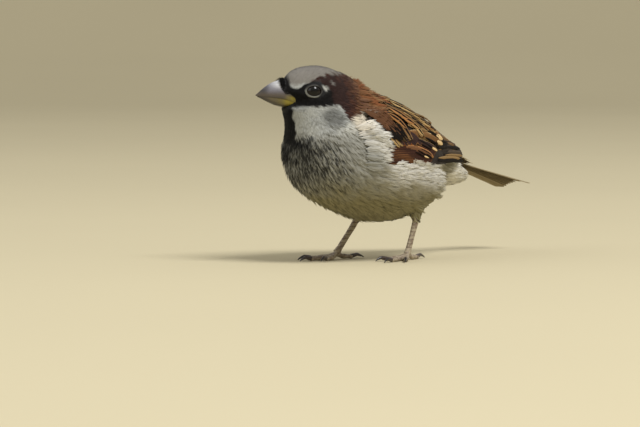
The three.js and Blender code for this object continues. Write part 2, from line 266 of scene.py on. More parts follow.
# %% Palette
def tone(red, green, blue):
    """A colour as it is seen, turned into the linear values that shaders use."""
    seen = np.array([red, green, blue]) / 255
    return np.where(seen <= 0.04045, seen / 12.92, ((seen + 0.055) / 1.055) ** 2.4)


CROWN = tone(124, 120, 114)
CHESTNUT = tone(70, 42, 32)
CHESTNUT_DARK = tone(42, 29, 28)
CHESTNUT_WARM = tone(98, 64, 42)
BLACK = tone(17, 16, 17)
BIB = tone(15, 15, 16)
CHEEK = tone(168, 170, 167)
CHEEK_SHADE = tone(106, 107, 104)
COLLAR = tone(196, 196, 189)
BREAST = tone(148, 148, 142)
# The belly's pale grey darkened and tinted olive: painted shade and painted light reflected from the
# ground.
BELLY_WITH_PAINTED_SHADE = tone(134, 127, 96)
# A painted shade, laid on between the flank and the tail.
PAINTED_OLIVE_SHADE = tone(104, 98, 74)
FLANK = tone(182, 179, 170)
CREAM = tone(222, 210, 188)
BACK = tone(134, 100, 64)
BACK_RUFOUS = tone(138, 82, 44)
RUMP = tone(126, 114, 92)
VENT = tone(208, 204, 192)
GREY_SPOT = tone(206, 206, 200)


def noise(places, size, seed=0):
    """Soft noise from 0 to 1 with lumps of about the given size in millimetres."""
    source = np.random.default_rng(seed)
    total = np.zeros(places.shape[:-1])
    for _ in range(7):
        wave = source.normal(size=3)
        wave *= 2 * math.pi / (size * MM * 1.6) / np.linalg.norm(wave) * source.uniform(0.6, 1.4)
        total += np.sin(places @ wave + source.uniform(0, 2 * math.pi))
    return np.clip(0.5 + total / 6, 0, 1)


def blend(under, over, share):
    """One colour or a row of them turned into another by a share for each place."""
    return under + (over - under) * np.asarray(share)[..., None]


# %% [markdown]
# The markings go on from large to small: the body's greys, then bib, cheek, back, chestnut,
# crown and mask, each over the last. On a bird an edge between two colours is a row of
# feather tips, so each edge is a soft step that the noise shifts to and fro.

# %% Markings
# Edges in the head, as places ahead of its middle (falling) and heights over it.
MASK_TOP = ([-6.0, -3.5, -1.0, 2.0, 4.7, 7.6, 9.8, 11.0], [0.6, 3.2, 4.6, 4.9, 4.1, 2.2, 3.2, 6.4])
MASK_FOOT = -4.2
CROWN_EDGE = ([-18.0, -14.0, -10.0, -6.1, -1.0, 1.5, 4.5], [5.5, 6.6, 7.4, 7.6, 6.7, 5.4, 4.2])
CHESTNUT_FOOT = (
    [-26.0, -22.0, -18.3, -13.9, -10.0, -8.8, -7.5, -4.4],
    [-2.0, -3.4, -6.3, -7.9, -9.6, -5.5, -3.6, -4.2],
)
BIB_HALF_WIDTH = 5.9
# The pale marks behind the eye: ahead, up, size and strength.
GREY_SPOTS = ((-2.3, 2.3, 0.75, 0.9), (-3.4, 2.7, 0.55, 0.5), (-6.0, 4.4, 0.7, 0.25))


def markings(places):
    """The plumage's colour at world places, given as rows, with painted shade low on the belly and
    painted shade below the tail.
    """
    left, ahead, up = head_places(places)
    x, y, z = (places / MM).T
    aside = np.abs(left)
    ragged = (noise(places, 1.6, 3) - 0.5) * 1.5
    lumps = noise(places, 6, 4)

    # Body: grey breast, pale flanks, and a belly whose pale colour is darkened and tinted olive as
    # painted shade and light reflected from the ground; whiter under the tail.
    colour = blend(BREAST, FLANK, smooth(y + 6 * lumps, -36, -16))
    colour = blend(colour, BELLY_WITH_PAINTED_SHADE, smooth(z - 3 * lumps, 31, 19))
    colour = blend(colour, VENT, smooth(y, 0, 14) * smooth(z, 40, 33))
    # Painted shade: a dull olive darkening between the flank and the feathers under the tail.
    olive = smooth(np.hypot((y - 17.0) * 0.9, (z - 32.5) * 0.7), 4.6, 1.8)
    colour = blend(colour, PAINTED_OLIVE_SHADE, 0.75 * olive)

    # Bib: black on the throat, broken into small spots lower on the breast.
    lowness = smooth(z, 46.5, 40.5)
    low_aside = np.abs(x - 0.5)
    from_midline = np.abs(left) * (1 - lowness) + low_aside * lowness
    front = smooth(ahead + 16 * lowness, 1.0, 4.5) * smooth(y, -36, -43)
    spots = noise(places, 0.7, 7) * 0.8 + noise(places, 2.4, 8) * 0.4
    spread = smooth(from_midline, 19, 5) * smooth(z, 23, 34) * smooth(z, 53, 47)
    mottle = smooth(spots, 0.80 - 0.34 * spread, 0.92 - 0.34 * spread)
    mottle = mottle * smooth(spread, 0.02, 0.2) * front
    colour = blend(colour, BIB, 0.85 * mottle)
    smudge = smooth(from_midline, 13, 0) * smooth(z, 25, 37) * smooth(z, 54, 48) * front
    colour = blend(colour, BIB, 0.42 * smudge)

    # Cheek and the whitish collar under it.
    on_head = smooth(up, -17, -13) * smooth(ahead, -17, -9)
    cheek = blend(CHEEK, CHEEK_SHADE, 0.3 * smooth(noise(places, 5, 12), 0.45, 0.8))
    cheek = blend(cheek, CHEEK_SHADE, 0.35 * smooth(np.hypot(ahead + 5, (up + 8.5) * 1.4), 7, 2))
    cheek = blend(cheek, CHEEK_SHADE, smooth(np.hypot((ahead + 4.8) * 0.8, up + 8.4), 4.8, 1.8))
    collar_line = -12.4 - 0.14 * (ahead + 10) + 1.0 * ragged
    under_cheek = smooth(up, collar_line + 2.4, collar_line + 0.4)
    cheek = blend(cheek, COLLAR, (0.15 + 0.7 * smooth(ahead, -4, -10)) * under_cheek)
    colour = blend(colour, cheek, on_head * smooth(up, collar_line - 3.4, collar_line - 1.6))
    collar_back = smooth(np.hypot(ahead + 16.2, up + 9.0), 6.4, 3.0) * smooth(up, -4.0, -6.5)
    colour = blend(colour, CREAM, 0.8 * collar_back)

    stripe = smooth(from_midline + ragged, BIB_HALF_WIDTH + 0.5, BIB_HALF_WIDTH - 0.7)
    throat = smooth(up, -23, -18) * smooth(up, 1, -1) * smooth(ahead, 1, 3.5)
    colour = blend(colour, BIB, stripe * throat)

    # Mantle: buff and rufous with black streaks along the back.
    back_foot = np.interp(y, [-35, -10, 0, 10, 20, 30, 38], [50, 49.5, 47, 44.5, 41.5, 38.5, 36.5])
    between_wings = smooth(np.abs(x), 10, 7) * smooth(y, 0, 5) * smooth(z, 36, 38)
    is_back = np.maximum(smooth(z - back_foot, -0.8, 1.8), between_wings) * smooth(y, -37, -31)
    lane = x + 0.9 * np.sin(y * 0.28) + 1.3 * (noise(places, 9, 21) - 0.5)
    streak = smooth(np.cos(lane * 2 * math.pi / 4.6) + 0.9 * (noise(places, 5, 22) - 0.5), 0.30, 0.62)
    back = blend(BACK, BACK_RUFOUS, smooth(noise(places, 4, 23), 0.35, 0.75))
    back = blend(back, BLACK, 0.92 * streak * smooth(y, 16, 4) * smooth(y, -27, -21))
    back = blend(back, CHESTNUT_WARM, 0.42 * smooth(y, -22, -31))
    back = blend(back, RUMP, smooth(y, 4, 16))
    colour = blend(colour, back, is_back)

    # Crown, chestnut sides of the head and nape.
    chestnut_foot = np.interp(ahead, *CHESTNUT_FOOT) + 0.8 * ragged
    chestnut = smooth(up, chestnut_foot - 0.5, chestnut_foot + 0.6) * smooth(ahead, 4.0, 2.0)
    chestnut *= smooth(ahead - 0.5 * (z - 56), -27, -19)
    warm = blend(CHESTNUT, CHESTNUT_WARM, 0.7 * smooth(ahead + 3 * lumps, -10, -19))
    round_eye = smooth(np.hypot(ahead + 4, up * 1.1) + 3 * ragged, 13.5, 7)
    warm = blend(warm, CHESTNUT_DARK, 0.92 * round_eye)
    barred = smooth(noise(places, 1.1, 33), 0.5, 0.8) * smooth(ahead, -12, -18)
    warm = blend(warm, BACK, 0.55 * barred)
    colour = blend(colour, warm, chestnut)
    crown_edge = np.interp(ahead, *CROWN_EDGE) + 0.9 * ragged
    crown = smooth(up, crown_edge - 0.5, crown_edge + 0.6) * smooth(ahead, -18, -12)
    crown = np.maximum(crown, smooth(ahead, 3.0, 4.5) * smooth(up, np.interp(ahead, *MASK_TOP), 5.0))
    crown_tone = blend(CROWN, CHESTNUT_WARM, 0.5 * smooth(ahead, -9, -16))
    colour = blend(colour, crown_tone, crown)
    brow = smooth(np.abs(up - eased(ahead, *MASK_TOP, 0.9) - 0.6), 0.62, 0.1)
    brow = brow * smooth(np.abs(ahead - 7.6), 3.8, 1.2)
    colour = blend(colour, CHEEK, 0.3 * brow * smooth(aside, 2.4, 3.6))

    # Mask from the bill through the eye, and the pale marks behind the eye.
    mask_top = eased(ahead, *MASK_TOP, 0.9) + 0.3 * ragged
    mask = smooth(up, mask_top + 0.4, mask_top - 0.4)
    mask *= smooth(up, MASK_FOOT - 0.5 + 0.4 * ragged, MASK_FOOT + 0.4)
    mask *= smooth(ahead + 0.8 * ragged, -7.0, -3.6)
    mask = np.maximum(mask, smooth(ahead, 9.0, 10.2) * smooth(up, 9, 7))
    colour = blend(colour, BLACK, mask)
    for spot_ahead, spot_up, size, strength in GREY_SPOTS:
        slanted = ahead - spot_ahead - 0.6 * (up - spot_up)
        away = np.hypot(slanted, 0.55 * (up - spot_up)) / size
        colour = blend(colour, GREY_SPOT, strength * smooth(away, 1.25, 0.35) * smooth(aside, 5, 6))
    return np.clip(colour, 0, 1)


sample = markings(in_head(0.0, 0.0, 10.0)[None])
print("crown colour", sample.round(3))

# %% [markdown]
# ## Skin
# One skin runs over head, neck, trunk and thighs. Each solid's copy is swollen a little so
# that it meets its neighbours, a voxel remesh turns them into one closed surface, and a
# smoothing rounds off the facets. Then the surface is taken in by the depth of the coat,
# which is thin on the face and deeper on the body.

# %% Skin
FLESH = ("head", "neck", "trunk", "thigh_left", "thigh_right")
SWELL = 0.35 * MM
SKIN_VOXEL = 0.62 * MM
COAT_ON_FACE = 0.75 * MM
COAT_ON_BODY = 1.75 * MM

parts = [merged_copy(node) for node in FLESH]
for side in ("left", "right"):
    bpy.ops.mesh.primitive_ico_sphere_add(subdivisions=4, radius=EYE_RADIUS, location=EYES[side])
    parts.append(bpy.context.object)
for part in parts:
    reshaped(part, outwards=SWELL)
skin = reshaped(joined(parts, "skin"), SKIN_VOXEL, rounds=10)


def bill_distance(places):
    """How far places are from the root of the bill, in mm."""
    return np.linalg.norm(places - BILL_BASE, axis=-1) / MM


def coat_depth(places):
    depth = COAT_ON_FACE + (COAT_ON_BODY - COAT_ON_FACE) * smooth(bill_distance(places), 8, 34)
    return depth * (1 - 0.45 * smooth(places[..., 2] / MM, 24, 16))


surface = points_of(skin)
set_points(skin, surface - normals_of(skin) * (SWELL + coat_depth(surface))[:, None])


def narrowed_at_bill(places):
    """The face drawn in round the bill, so that the bill stands out of it at the gape."""
    left, ahead, up = head_places(places)
    beyond = ahead - eased(up, *FEATHER_EDGE, 0.5)
    half = eased(ahead, *HALF_WIDTH, 0.5) * 0.82
    limit = half + 0.85 * np.maximum(-beyond, 0)
    excess = np.maximum(np.abs(left) - limit, 0)
    there = smooth(up, 6.8, 4.8) * smooth(up, -7.5, -5.0) * smooth(ahead, 2.0, 5.0)
    left = left - np.sign(left) * excess * there
    ahead = ahead - np.maximum(beyond - 0.2, 0) * there
    return in_head(left, ahead, up)


set_points(skin, narrowed_at_bill(points_of(skin)))
reshaped(skin, smoothing=0.4, rounds=4)
skin.data.shade_smooth()
print("skin:", len(skin.data.polygons), "faces")

# %% [markdown]
# ## Reading the skin
# Feathers need three things from the skin: the nearest place on it, the way it faces, and
# the way the coat lies there. A tree of its triangles gives the first two quickly. The lie
# comes from one rule that holds on any bird: plumage sweeps away from the bill.

# %% Skin as a surface to lay feathers on


class Surface:
    """A mesh that feathers can be laid on."""

    def __init__(self, piece):
        piece.data.calc_loop_triangles()
        corners = np.empty(len(piece.data.loop_triangles) * 3, np.int32)
        piece.data.loop_triangles.foreach_get("vertices", corners)
        self.corners = corners.reshape(-1, 3)
        self.points = points_of(piece)
        self.normals = normals_of(piece)
        self.tree = BVHTree.FromPolygons(self.points.tolist(), self.corners.tolist())

    def nearest(self, places):
        """The nearest places and the smooth normals there."""
        found = [self.tree.find_nearest(Vector(place)) for place in places]
        spots = np.array([f[0] for f in found])
        corners = self.corners[[f[2] for f in found]]
        away = np.linalg.norm(self.points[corners] - spots[:, None], axis=2)
        weights = 1 / (away + 0.05 * MM)
        normals = (self.normals[corners] * weights[..., None]).sum(axis=1)
        return spots, normals / np.linalg.norm(normals, axis=1, keepdims=True)

    def scattered(self, count):
        """Random places spread evenly over the surface."""
        a, b, c = (self.points[self.corners[:, k]] for k in range(3))
        areas = np.linalg.norm(np.cross(b - a, c - a), axis=1)
        picks = RANDOM.choice(len(areas), count, p=areas / areas.sum())
        s, t = RANDOM.random((2, count, 1))
        s, t = np.where(s + t > 1, 1 - s, s), np.where(s + t > 1, 1 - t, t)
        return a[picks] + s * (b - a)[picks] + t * (c - a)[picks]


def unit(vectors):
    return vectors / np.maximum(np.linalg.norm(vectors, axis=-1, keepdims=True), 1e-12)


def along_surface(flow, normals):
    """What is left of directions when the part that leaves the surface is taken off."""
    return flow - normals * (flow * normals).sum(axis=1, keepdims=True)


def lie(places, normals):
    """The way the coat lies: away from the bill, round the eyes, level along the flanks
    and down the thighs."""
    _, y, z = (places / MM).T
    away = unit(places - BILL_BASE)
    level = (smooth(y, -52, -36) * smooth(z, 60, 50) * 0.9)[:, None]
    away = unit(away * (1 - level) + np.array([0, 1, -0.10]) * level)
    thigh = (smooth(z, 22, 17) * smooth(y, -24, -20) * smooth(y, 4, 0))[:, None]
    away = away * (1 - thigh) + np.array([0, 0.15, -1]) * thigh
    for centre in EYES.values():
        inward = np.array(centre) - places
        close = smooth(np.linalg.norm(inward, axis=1) / MM, 8.5, 4.5)[:, None]
        towards = np.maximum((away * unit(inward)).sum(axis=1, keepdims=True), 0)
        away = away - unit(inward) * towards * close
    return unit(along_surface(away, normals) + 1e-6)


def surface_only(piece):
    """A surface read from a piece that is taken away afterwards."""
    surface = Surface(piece)
    bpy.data.objects.remove(piece)
    return surface


body = Surface(skin)

# %% [markdown]
# ## One lock of barbs
# A soft feather is a fan of locks, and each lock is many barbs that cling together. One lock
# is modelled: a triangle is extruded and narrowed a few times and drawn to a point.
# Every lock in the coat is a copy of this one or of a shorter one, so both have few faces.

# %% Lock


def as_arrays(piece, *columns):
    """Points with the given columns, and a modelled piece's triangles turned outwards. The
    piece itself is taken away."""
    points = np.stack(columns, axis=1)
    corners = np.array([list(face.vertices) for face in piece.data.polygons])
    bpy.data.objects.remove(piece)
    a, b, c = (points[corners[:, k]] for k in range(3))
    volume = np.einsum("ij,ij->", a, np.cross(b, c))
    return points, corners[:, ::-1] if volume < 0 else corners


def model_lock(steps, half_width=0.5, thickness=0.32):
    """Points and triangles of a lock that lies along +Y from 0 to 1, 1 wide."""
    bpy.ops.object.select_all(action="DESELECT")
    bpy.ops.mesh.primitive_circle_add(vertices=3, radius=half_width, fill_type="NGON")
    lock = bpy.context.object
    bpy.ops.object.mode_set(mode="EDIT")
    bpy.ops.mesh.select_all(action="SELECT")
    for rise, narrow in steps:
        bpy.ops.mesh.extrude_region_move(TRANSFORM_OT_translate={"value": (0, 0, rise)})
        bpy.ops.transform.resize(value=(narrow, narrow, 1))
    bpy.ops.mesh.merge(type="CENTER")
    bpy.ops.mesh.select_all(action="SELECT")
    bpy.ops.mesh.quads_convert_to_tris()
    bpy.ops.mesh.normals_make_consistent(inside=False)
    bpy.ops.object.mode_set(mode="OBJECT")
    places = points_of(lock)
    top = places[:, 2].max()
    return as_arrays(lock, places[:, 0], places[:, 2] / top, -places[:, 1] * thickness)


LOCK = model_lock(((0.35, 1.25), (0.4, 0.9), (0.25, 0.05)))
SHORT_LOCK = model_lock(((0.55, 1.2), (0.45, 0.05)))
print("lock:", len(LOCK[1]), "triangles, short lock:", len(SHORT_LOCK[1]))

# %% [markdown]
# ## Laying feathers
# A feather bends over the body that it lies on. So each one gets a spine of a few places,
# found by walking along the surface from its root, and the points of the modelled feather
# are set out along that spine: across it, along it and up from it. Roots sink into the
# skin and tips stand proud, so that each feather covers the roots behind it, like tiles.
# All the feathers of a region are made as one mesh from arrays, because an operator for
# each of several thousand would take minutes.

# %% A soft feather and its spine
SPINE_STEPS = 5


def fan(lock, count, spread, lock_width, thickness, taper=0.26, loose=0.12):
    """A soft feather: locks fanned out from one root. Gives points, triangles and lock numbers."""
    shape, corners = lock
    points, faces, numbers = [], [], []
    for k in range(count):
        side = 2 * k / (count - 1) - 1 if count > 1 else 0
        side += RANDOM.normal(0, 0.6 / count)
        reach = (1 - taper * side * side) * RANDOM.normal(1, loose)
        along = shape[:, 1] * reach
        across = shape[:, 0] * lock_width + spread * side * along**0.7 * (1.15 - 0.25 * along)
        up = shape[:, 2] * thickness - 0.06 * abs(side) * along + RANDOM.uniform(-0.008, 0.012)
        points.append(np.stack([across, along, up], axis=1))
        faces.append(corners + k * len(shape))
        numbers.append(np.full(len(shape), k))
    return np.concatenate(points), np.concatenate(faces), np.concatenate(numbers)


VARIANTS = 4


def kit_of(*settings):
    """A few feathers of one kind that differ a little."""
    return [fan(*settings) for _ in range(VARIANTS)]


def walked(surface, roots, directions, lengths, guide):
    """The spine of each feather: places and normals at equal steps along the surface."""
    places, normals = surface.nearest(roots)
    spine, facing = [places], [normals]
    heading = directions
    for _ in range(SPINE_STEPS - 1):
        heading = unit(along_surface(heading, normals))
        ahead = places + heading * (lengths / (SPINE_STEPS - 1))[:, None]
        places, normals = surface.nearest(ahead)
        spine.append(places)
        facing.append(normals)
        heading = unit(heading + 0.35 * guide(places, normals))
    return np.stack(spine, axis=1), np.stack(facing, axis=1)


def along_spine(values, share):
    """Values given at the spine's steps, read at shares of its length for every feather."""
    place = np.clip(share, 0, 1) * (values.shape[1] - 1)
    low = np.minimum(place.astype(int), values.shape[1] - 2)
    part = (place - low)[None, :, None]
    return values[:, low] * (1 - part) + values[:, low + 1] * part


def set_out(spine, facing, shape, lengths, widths, root_height, tip_height):
    """World points of every feather: a row of points for each."""
    reach = along_spine(spine, shape[:, 1])
    over = np.clip(shape[:, 1] - 1, 0, None)
    heading = unit(spine[:, -1] - spine[:, -2])
    up = unit(along_spine(facing, shape[:, 1]))
    step = unit(np.gradient(spine, axis=1))
    side = unit(np.cross(along_spine(step, shape[:, 1]), up))
    share = np.clip(shape[:, 1], 0, 1)[None] ** 1.2
    height = root_height[:, None] + (tip_height - root_height)[:, None] * share
    height = height + shape[:, 2][None] * lengths[:, None]
    reach = reach + heading[:, None] * (over[None] * lengths[:, None])[..., None]
    return reach + side * (shape[:, 0][None] * widths[:, None])[..., None] + up * height[..., None]


# %% [markdown]
# A mesh can be made from arrays in a few calls. Thousands of small flat locks would glitter
# as each catches the light its own way, where real down shades as one soft body. So the
# normals that the shader uses lean most of the way towards those of the body beneath.

# %% A mesh from arrays
SOFTNESS = 0.72


def mesh_of(name, points, corners, maps, colours, facing=None):
    """A mesh from arrays, with UV maps and colour attributes given for each point. With
    facing given, its shading follows the body it lies on more than its own small faces."""
    mesh = bpy.data.meshes.new(name)
    mesh.vertices.add(len(points))
    mesh.vertices.foreach_set("co", points.astype(np.float32).ravel())
    mesh.loops.add(corners.size)
    mesh.loops.foreach_set("vertex_index", corners.astype(np.int32).ravel())
    mesh.polygons.add(len(corners))
    mesh.polygons.foreach_set("loop_start", np.arange(0, corners.size, 3, dtype=np.int32))
    mesh.update(calc_edges=True)
    for title, places in maps.items():
        layer = mesh.uv_layers.new(name=title)
        layer.uv.foreach_set("vector", places[corners.ravel()].astype(np.float32).ravel())
    for title, colour in colours.items():
        attribute = mesh.attributes.new(title, "FLOAT_COLOR", "POINT")
        alpha = np.ones((len(colour), 4 - colour.shape[1]))
        attribute.data.foreach_set("color", np.hstack([colour, alpha]).astype(np.float32).ravel())
    mesh.shade_smooth()
    if facing is not None:
        soft = unit(rows_of(mesh.vertex_normals, "vector") * (1 - SOFTNESS) + facing * SOFTNESS)
        mesh.normals_split_custom_set_from_vertices(soft.tolist())
    piece = bpy.data.objects.new(name, mesh)
    bpy.context.scene.collection.objects.link(piece)
    return piece


def unwrapped(roots, centre, axis):
    """Where roots fall on a skin that is slit along one line and unrolled about an axis."""
    axis = unit(np.array(axis, float))
    over = unit(np.array([0, 0, 1.0]) - axis * axis[2])
    aside = np.cross(axis, over)
    offset = roots - np.array(centre)
    turn = np.arctan2(offset @ aside, offset @ over)
    flat = np.stack([turn, offset @ axis], axis=1)
    low, high = flat.min(axis=0), flat.max(axis=0)
    return 0.02 + 0.95 * (flat - low) / np.maximum(high - low, 1e-9)


# %% [markdown]
# A region of the coat is laid in one go. Every lock takes its colour from the markings at
# its own tip, so a marking's edge runs from feather to feather as it does on the bird.

# %% One region of feathers
def repeated(corners, count, size):
    """The triangles of a shape of some points, told again for every copy of it."""
    return (corners[None] + (np.arange(count) * size)[:, None, None]).reshape(-1, 3)


PATCH = 0.003  # of the OFBake map, for one feather
UNEVEN = 0.035  # spread of lightness from feather to feather and from lock to lock
LOCK_APART = 0.37  # from one lock's place in the Barbs map to the next one's


def tufts(surface, roots, kit, lengths, widths, tips, unwrap, guide, tint, yaw, sunk):
    """The arrays of one region's feathers, all of one variant."""
    shape, faces, locks = kit
    spots, normals = surface.nearest(roots)
    heading = guide(spots, normals)
    turn = RANDOM.normal(0, yaw, (len(roots), 1))
    heading = unit(heading * np.cos(turn) + np.cross(normals, heading) * np.sin(turn))
    spine, facing = walked(surface, roots, heading, lengths, guide)
    points = set_out(spine, facing, shape, lengths, widths, np.full(len(roots), -sunk * MM), tips)
    ends = np.array([np.argmax(np.where(locks == k, shape[:, 1], 0)) for k in range(locks.max() + 1)])
    seen = points[:, ends] * 0.5 + spine[:, 2:3] * 0.5
    inner = tint(seen.reshape(-1, 3)).reshape(len(roots), -1, 3)
    outer = tint(points[:, ends].reshape(-1, 3)).reshape(len(roots), -1, 3)
    light = RANDOM.normal(1, UNEVEN, (len(roots), 1, 1))
    light = light * RANDOM.normal(1, UNEVEN, inner.shape[:2] + (1,))
    fade = 0.84 + 0.16 * smooth(shape[:, 1], 0.15, 0.6)
    near_end = smooth(shape[:, 1], 0.6, 0.9)[None, :, None]
    colour = inner[:, locks] * (1 - near_end) + outer[:, locks] * near_end
    tints = np.clip(colour * light[:, locks] * fade[None, :, None], 0, 1)
    count, size = len(roots), len(shape)
    corners = repeated(faces, count, size)
    bake = unwrapped(roots, *unwrap)[:, None] + (shape[:, :2] * PATCH)[None]
    barbs = np.stack([shape[:, 0] + locks * LOCK_APART, shape[:, 1]], axis=1)
    barbs = np.broadcast_to(barbs, (count, size, 2))
    out = unit(along_spine(facing, shape[:, 1]))
    rows = (bake, barbs, tints, out)
    return points.reshape(-1, 3), corners, *(row.reshape(-1, row.shape[-1]) for row in rows)


def coat(
    name, surface, roots, kits, lengths, widths, tips, unwrap,
    yaw=0.14, guide=lie, tint=markings, sunk=0.15,
):
    """One region of soft plumage as one mesh. Roots are sunk by a depth in mm."""
    lengths = lengths * RANDOM.uniform(0.84, 1.16, len(roots))
    tips = tips * RANDOM.uniform(0.6, 1.4, len(roots))
    variant = RANDOM.integers(0, len(kits), len(roots))
    made, below = [], 0
    for number, kit in enumerate(kits):
        own = variant == number
        if not own.any():
            continue
        given = (surface, roots[own], kit, lengths[own], widths[own], tips[own])
        arrays = tufts(*given, unwrap, guide, tint, yaw, sunk)
        made.append((arrays[0], arrays[1] + below, *arrays[2:]))
        below += len(arrays[0])
    points, corners, bake, barbs, tints, out = (np.concatenate(rows) for rows in zip(*made))
    piece = mesh_of(name, points, corners, {"OFBake": bake, "Barbs": barbs}, {"tint": tints}, out)
    print(f"{name}: {len(roots)} feathers, {len(corners)} triangles")
    return piece


# %% [markdown]
# ## Where feathers grow
# Feathers stand close and tiny at the bill, and long and further apart on the body. Roots
# at random would clump, so many are tried and one is kept only where no kept one is near.
# The distance between them grows with the feathers' length.

# %% Roots, spread evenly and closer on the face
COAT_LENGTHS = ([0, 6, 11, 18, 28, 42, 70], [1.3, 1.7, 2.5, 3.6, 5.4, 8.0, 9.5])


def coat_length(places):
    """How long the feathers are at a place: tiny at the bill, longest on the body."""
    return np.interp(bill_distance(places), *COAT_LENGTHS) * MM


def spread_roots(candidates, spacing):
    """Keeps the candidates that have no kept neighbour within their spacing."""
    tree = KDTree(len(candidates))
    for index, place in enumerate(candidates):
        tree.insert(place, index)
    tree.balance()
    alive = np.ones(len(candidates), bool)
    kept = []
    for index, place in enumerate(candidates):
        if alive[index]:
            kept.append(index)
            alive[[found[1] for found in tree.find_range(place, spacing[index])]] = False
    return candidates[kept]


CANDIDATES = 110000
FACE_REACH = 24 * MM  # round the bill, where the roots are so close that more candidates are needed
ROOT_SPACING = 0.165  # as a share of the feather's length
candidates = body.scattered(CANDIDATES)
extra = body.scattered(CANDIDATES * 3)
extra = extra[np.linalg.norm(extra - BILL_BASE, axis=1) < FACE_REACH]
candidates = np.concatenate([candidates, extra])
candidates = candidates[RANDOM.permutation(len(candidates))]
roots = spread_roots(candidates, coat_length(candidates) * ROOT_SPACING)
print("roots:", len(roots))

# %% [markdown]
# ## Finish of feathers and skin
# A feather's colour comes with its points, as the attribute "tint". What the shader adds is
# the fine grain of barbs: lines along each lock, lighter and darker and a little raised. The
# group below makes that grain from a feather's own map, so it turns and bends with it.

# %% Node groups and materials
def new_group(name, sockets):
    """An empty shader node group with the given (direction, name, type, value) sockets."""
    group = bpy.data.node_groups.new(name, "ShaderNodeTree")
    for direction, title, kind, value in sockets:
        socket = group.interface.new_socket(title, in_out=direction, socket_type="NodeSocket" + kind)
        if value is not None:
            socket.default_value = value
    group.nodes.new("NodeGroupInput")
    group.nodes.new("NodeGroupOutput")
    return group


def add(tree, kind, links=None, **settings):
    """Adds a node, sets its properties and connects or sets its inputs by name or number."""
    node = tree.nodes.new("ShaderNode" + kind)
    for title, value in settings.items():
        setattr(node, title, value)
    for title, value in (links or {}).items():
        socket = node.inputs[title]
        if isinstance(value, bpy.types.NodeSocket):
            tree.links.new(value, socket)
        else:
            socket.default_value = value
    return node


def maths(tree, operation, *values):
    """The result of a Math node over sockets or numbers."""
    return add(tree, "Math", dict(enumerate(values)), operation=operation).outputs[0]


def ranged(tree, value, to, start=0.0, end=1.0, kind="LINEAR"):
    """A value taken from start and end over to a pair of other numbers."""
    settings = {"Value": value, "From Min": start, "From Max": end, "To Min": to[0], "To Max": to[1]}
    return add(tree, "MapRange", settings, interpolation_type=kind).outputs[0]


def scaled(tree, colour, factor):
    return add(tree, "VectorMath", {0: colour, "Scale": factor}, operation="SCALE").outputs[0]


def barb_grain():
    """Fine lines along a feather's map: a tinted colour and a height."""
    group = new_group("barb_grain", (
        ("INPUT", "Color", "Color", None),
        ("INPUT", "Place", "Vector", None),
        ("INPUT", "Lines", "Float", 9.0),
        ("INPUT", "Strength", "Float", 0.3),
        ("OUTPUT", "Color", "Color", None),
        ("OUTPUT", "Height", "Float", None),
    ))
    enter, leave = group.nodes["Group Input"], group.nodes["Group Output"]
    along_lines = {0: enter.outputs["Place"], 1: (1.0, 0.09, 1.0)}
    stretch = add(group, "VectorMath", along_lines, operation="MULTIPLY")
    place = scaled(group, stretch.outputs[0], enter.outputs["Lines"])
    lines = add(group, "TexNoise", {"Vector": place, "Scale": 3.0, "Detail": 3.0, "Roughness": 0.65})
    centred = maths(group, "SUBTRACT", lines.outputs["Fac"], 0.5)
    amount = maths(group, "MULTIPLY", centred, enter.outputs["Strength"])
    shaded = scaled(group, enter.outputs["Color"], maths(group, "ADD", amount, 1.0))
    group.links.new(shaded, leave.inputs["Color"])
    group.links.new(lines.outputs["Fac"], leave.inputs["Height"])
    return group


BARB_GRAIN = barb_grain()

# %% [markdown]
# Feathers, bare skin, horn and eye differ in gloss and grain more than in make-up. One
# helper makes a mottled material for the bare parts, and the feathers get their own.

# %% Materials
def material(name, roughness, **sockets):
    """A new material with its Principled shader's plain sockets set."""
    made = bpy.data.materials.new(name)
    made.use_nodes = True
    shader = made.node_tree.nodes["Principled BSDF"]
    shader.inputs["Roughness"].default_value = roughness
    for title, value in sockets.items():
        shader.inputs[title.replace("_", " ")].default_value = value
    return made


def finished(made, colour, height, bump, dull=None):
    """Gives a material its colour and a height that raises it, and can dull it. The bump is
    a strength, a depth in mm and whether it goes inwards. Dull is the ends of the roughness."""
    tree = made.node_tree
    shader = tree.nodes["Principled BSDF"]
    strength, depth, inwards = bump
    tree.links.new(colour, shader.inputs["Base Color"])
    if dull:
        tree.links.new(ranged(tree, height, dull), shader.inputs["Roughness"])
    settings = {"Height": height, "Strength": strength, "Distance": depth * MM}
    raised = add(tree, "Bump", settings, invert=inwards)
    tree.links.new(raised.outputs["Normal"], shader.inputs["Normal"])
    return made


def stored(tree, name):
    """A colour that is stored with the points."""
    return add(tree, "Attribute", attribute_name=name).outputs["Color"]


def soft_plumage():
    made = material(
        "soft_plumage", 0.85, Specular_IOR_Level=0.08, Sheen_Weight=0.05, Sheen_Roughness=0.6,
    )
    tree = made.node_tree
    grain = add(tree, "Group", {
        "Color": stored(tree, "tint"),
        "Place": add(tree, "UVMap", uv_map="Barbs").outputs["UV"],
        "Lines": 7.0,
        "Strength": 0.28,
    }, node_tree=BARB_GRAIN)
    return finished(made, grain.outputs["Color"], grain.outputs["Height"], (0.25, 0.06, False))


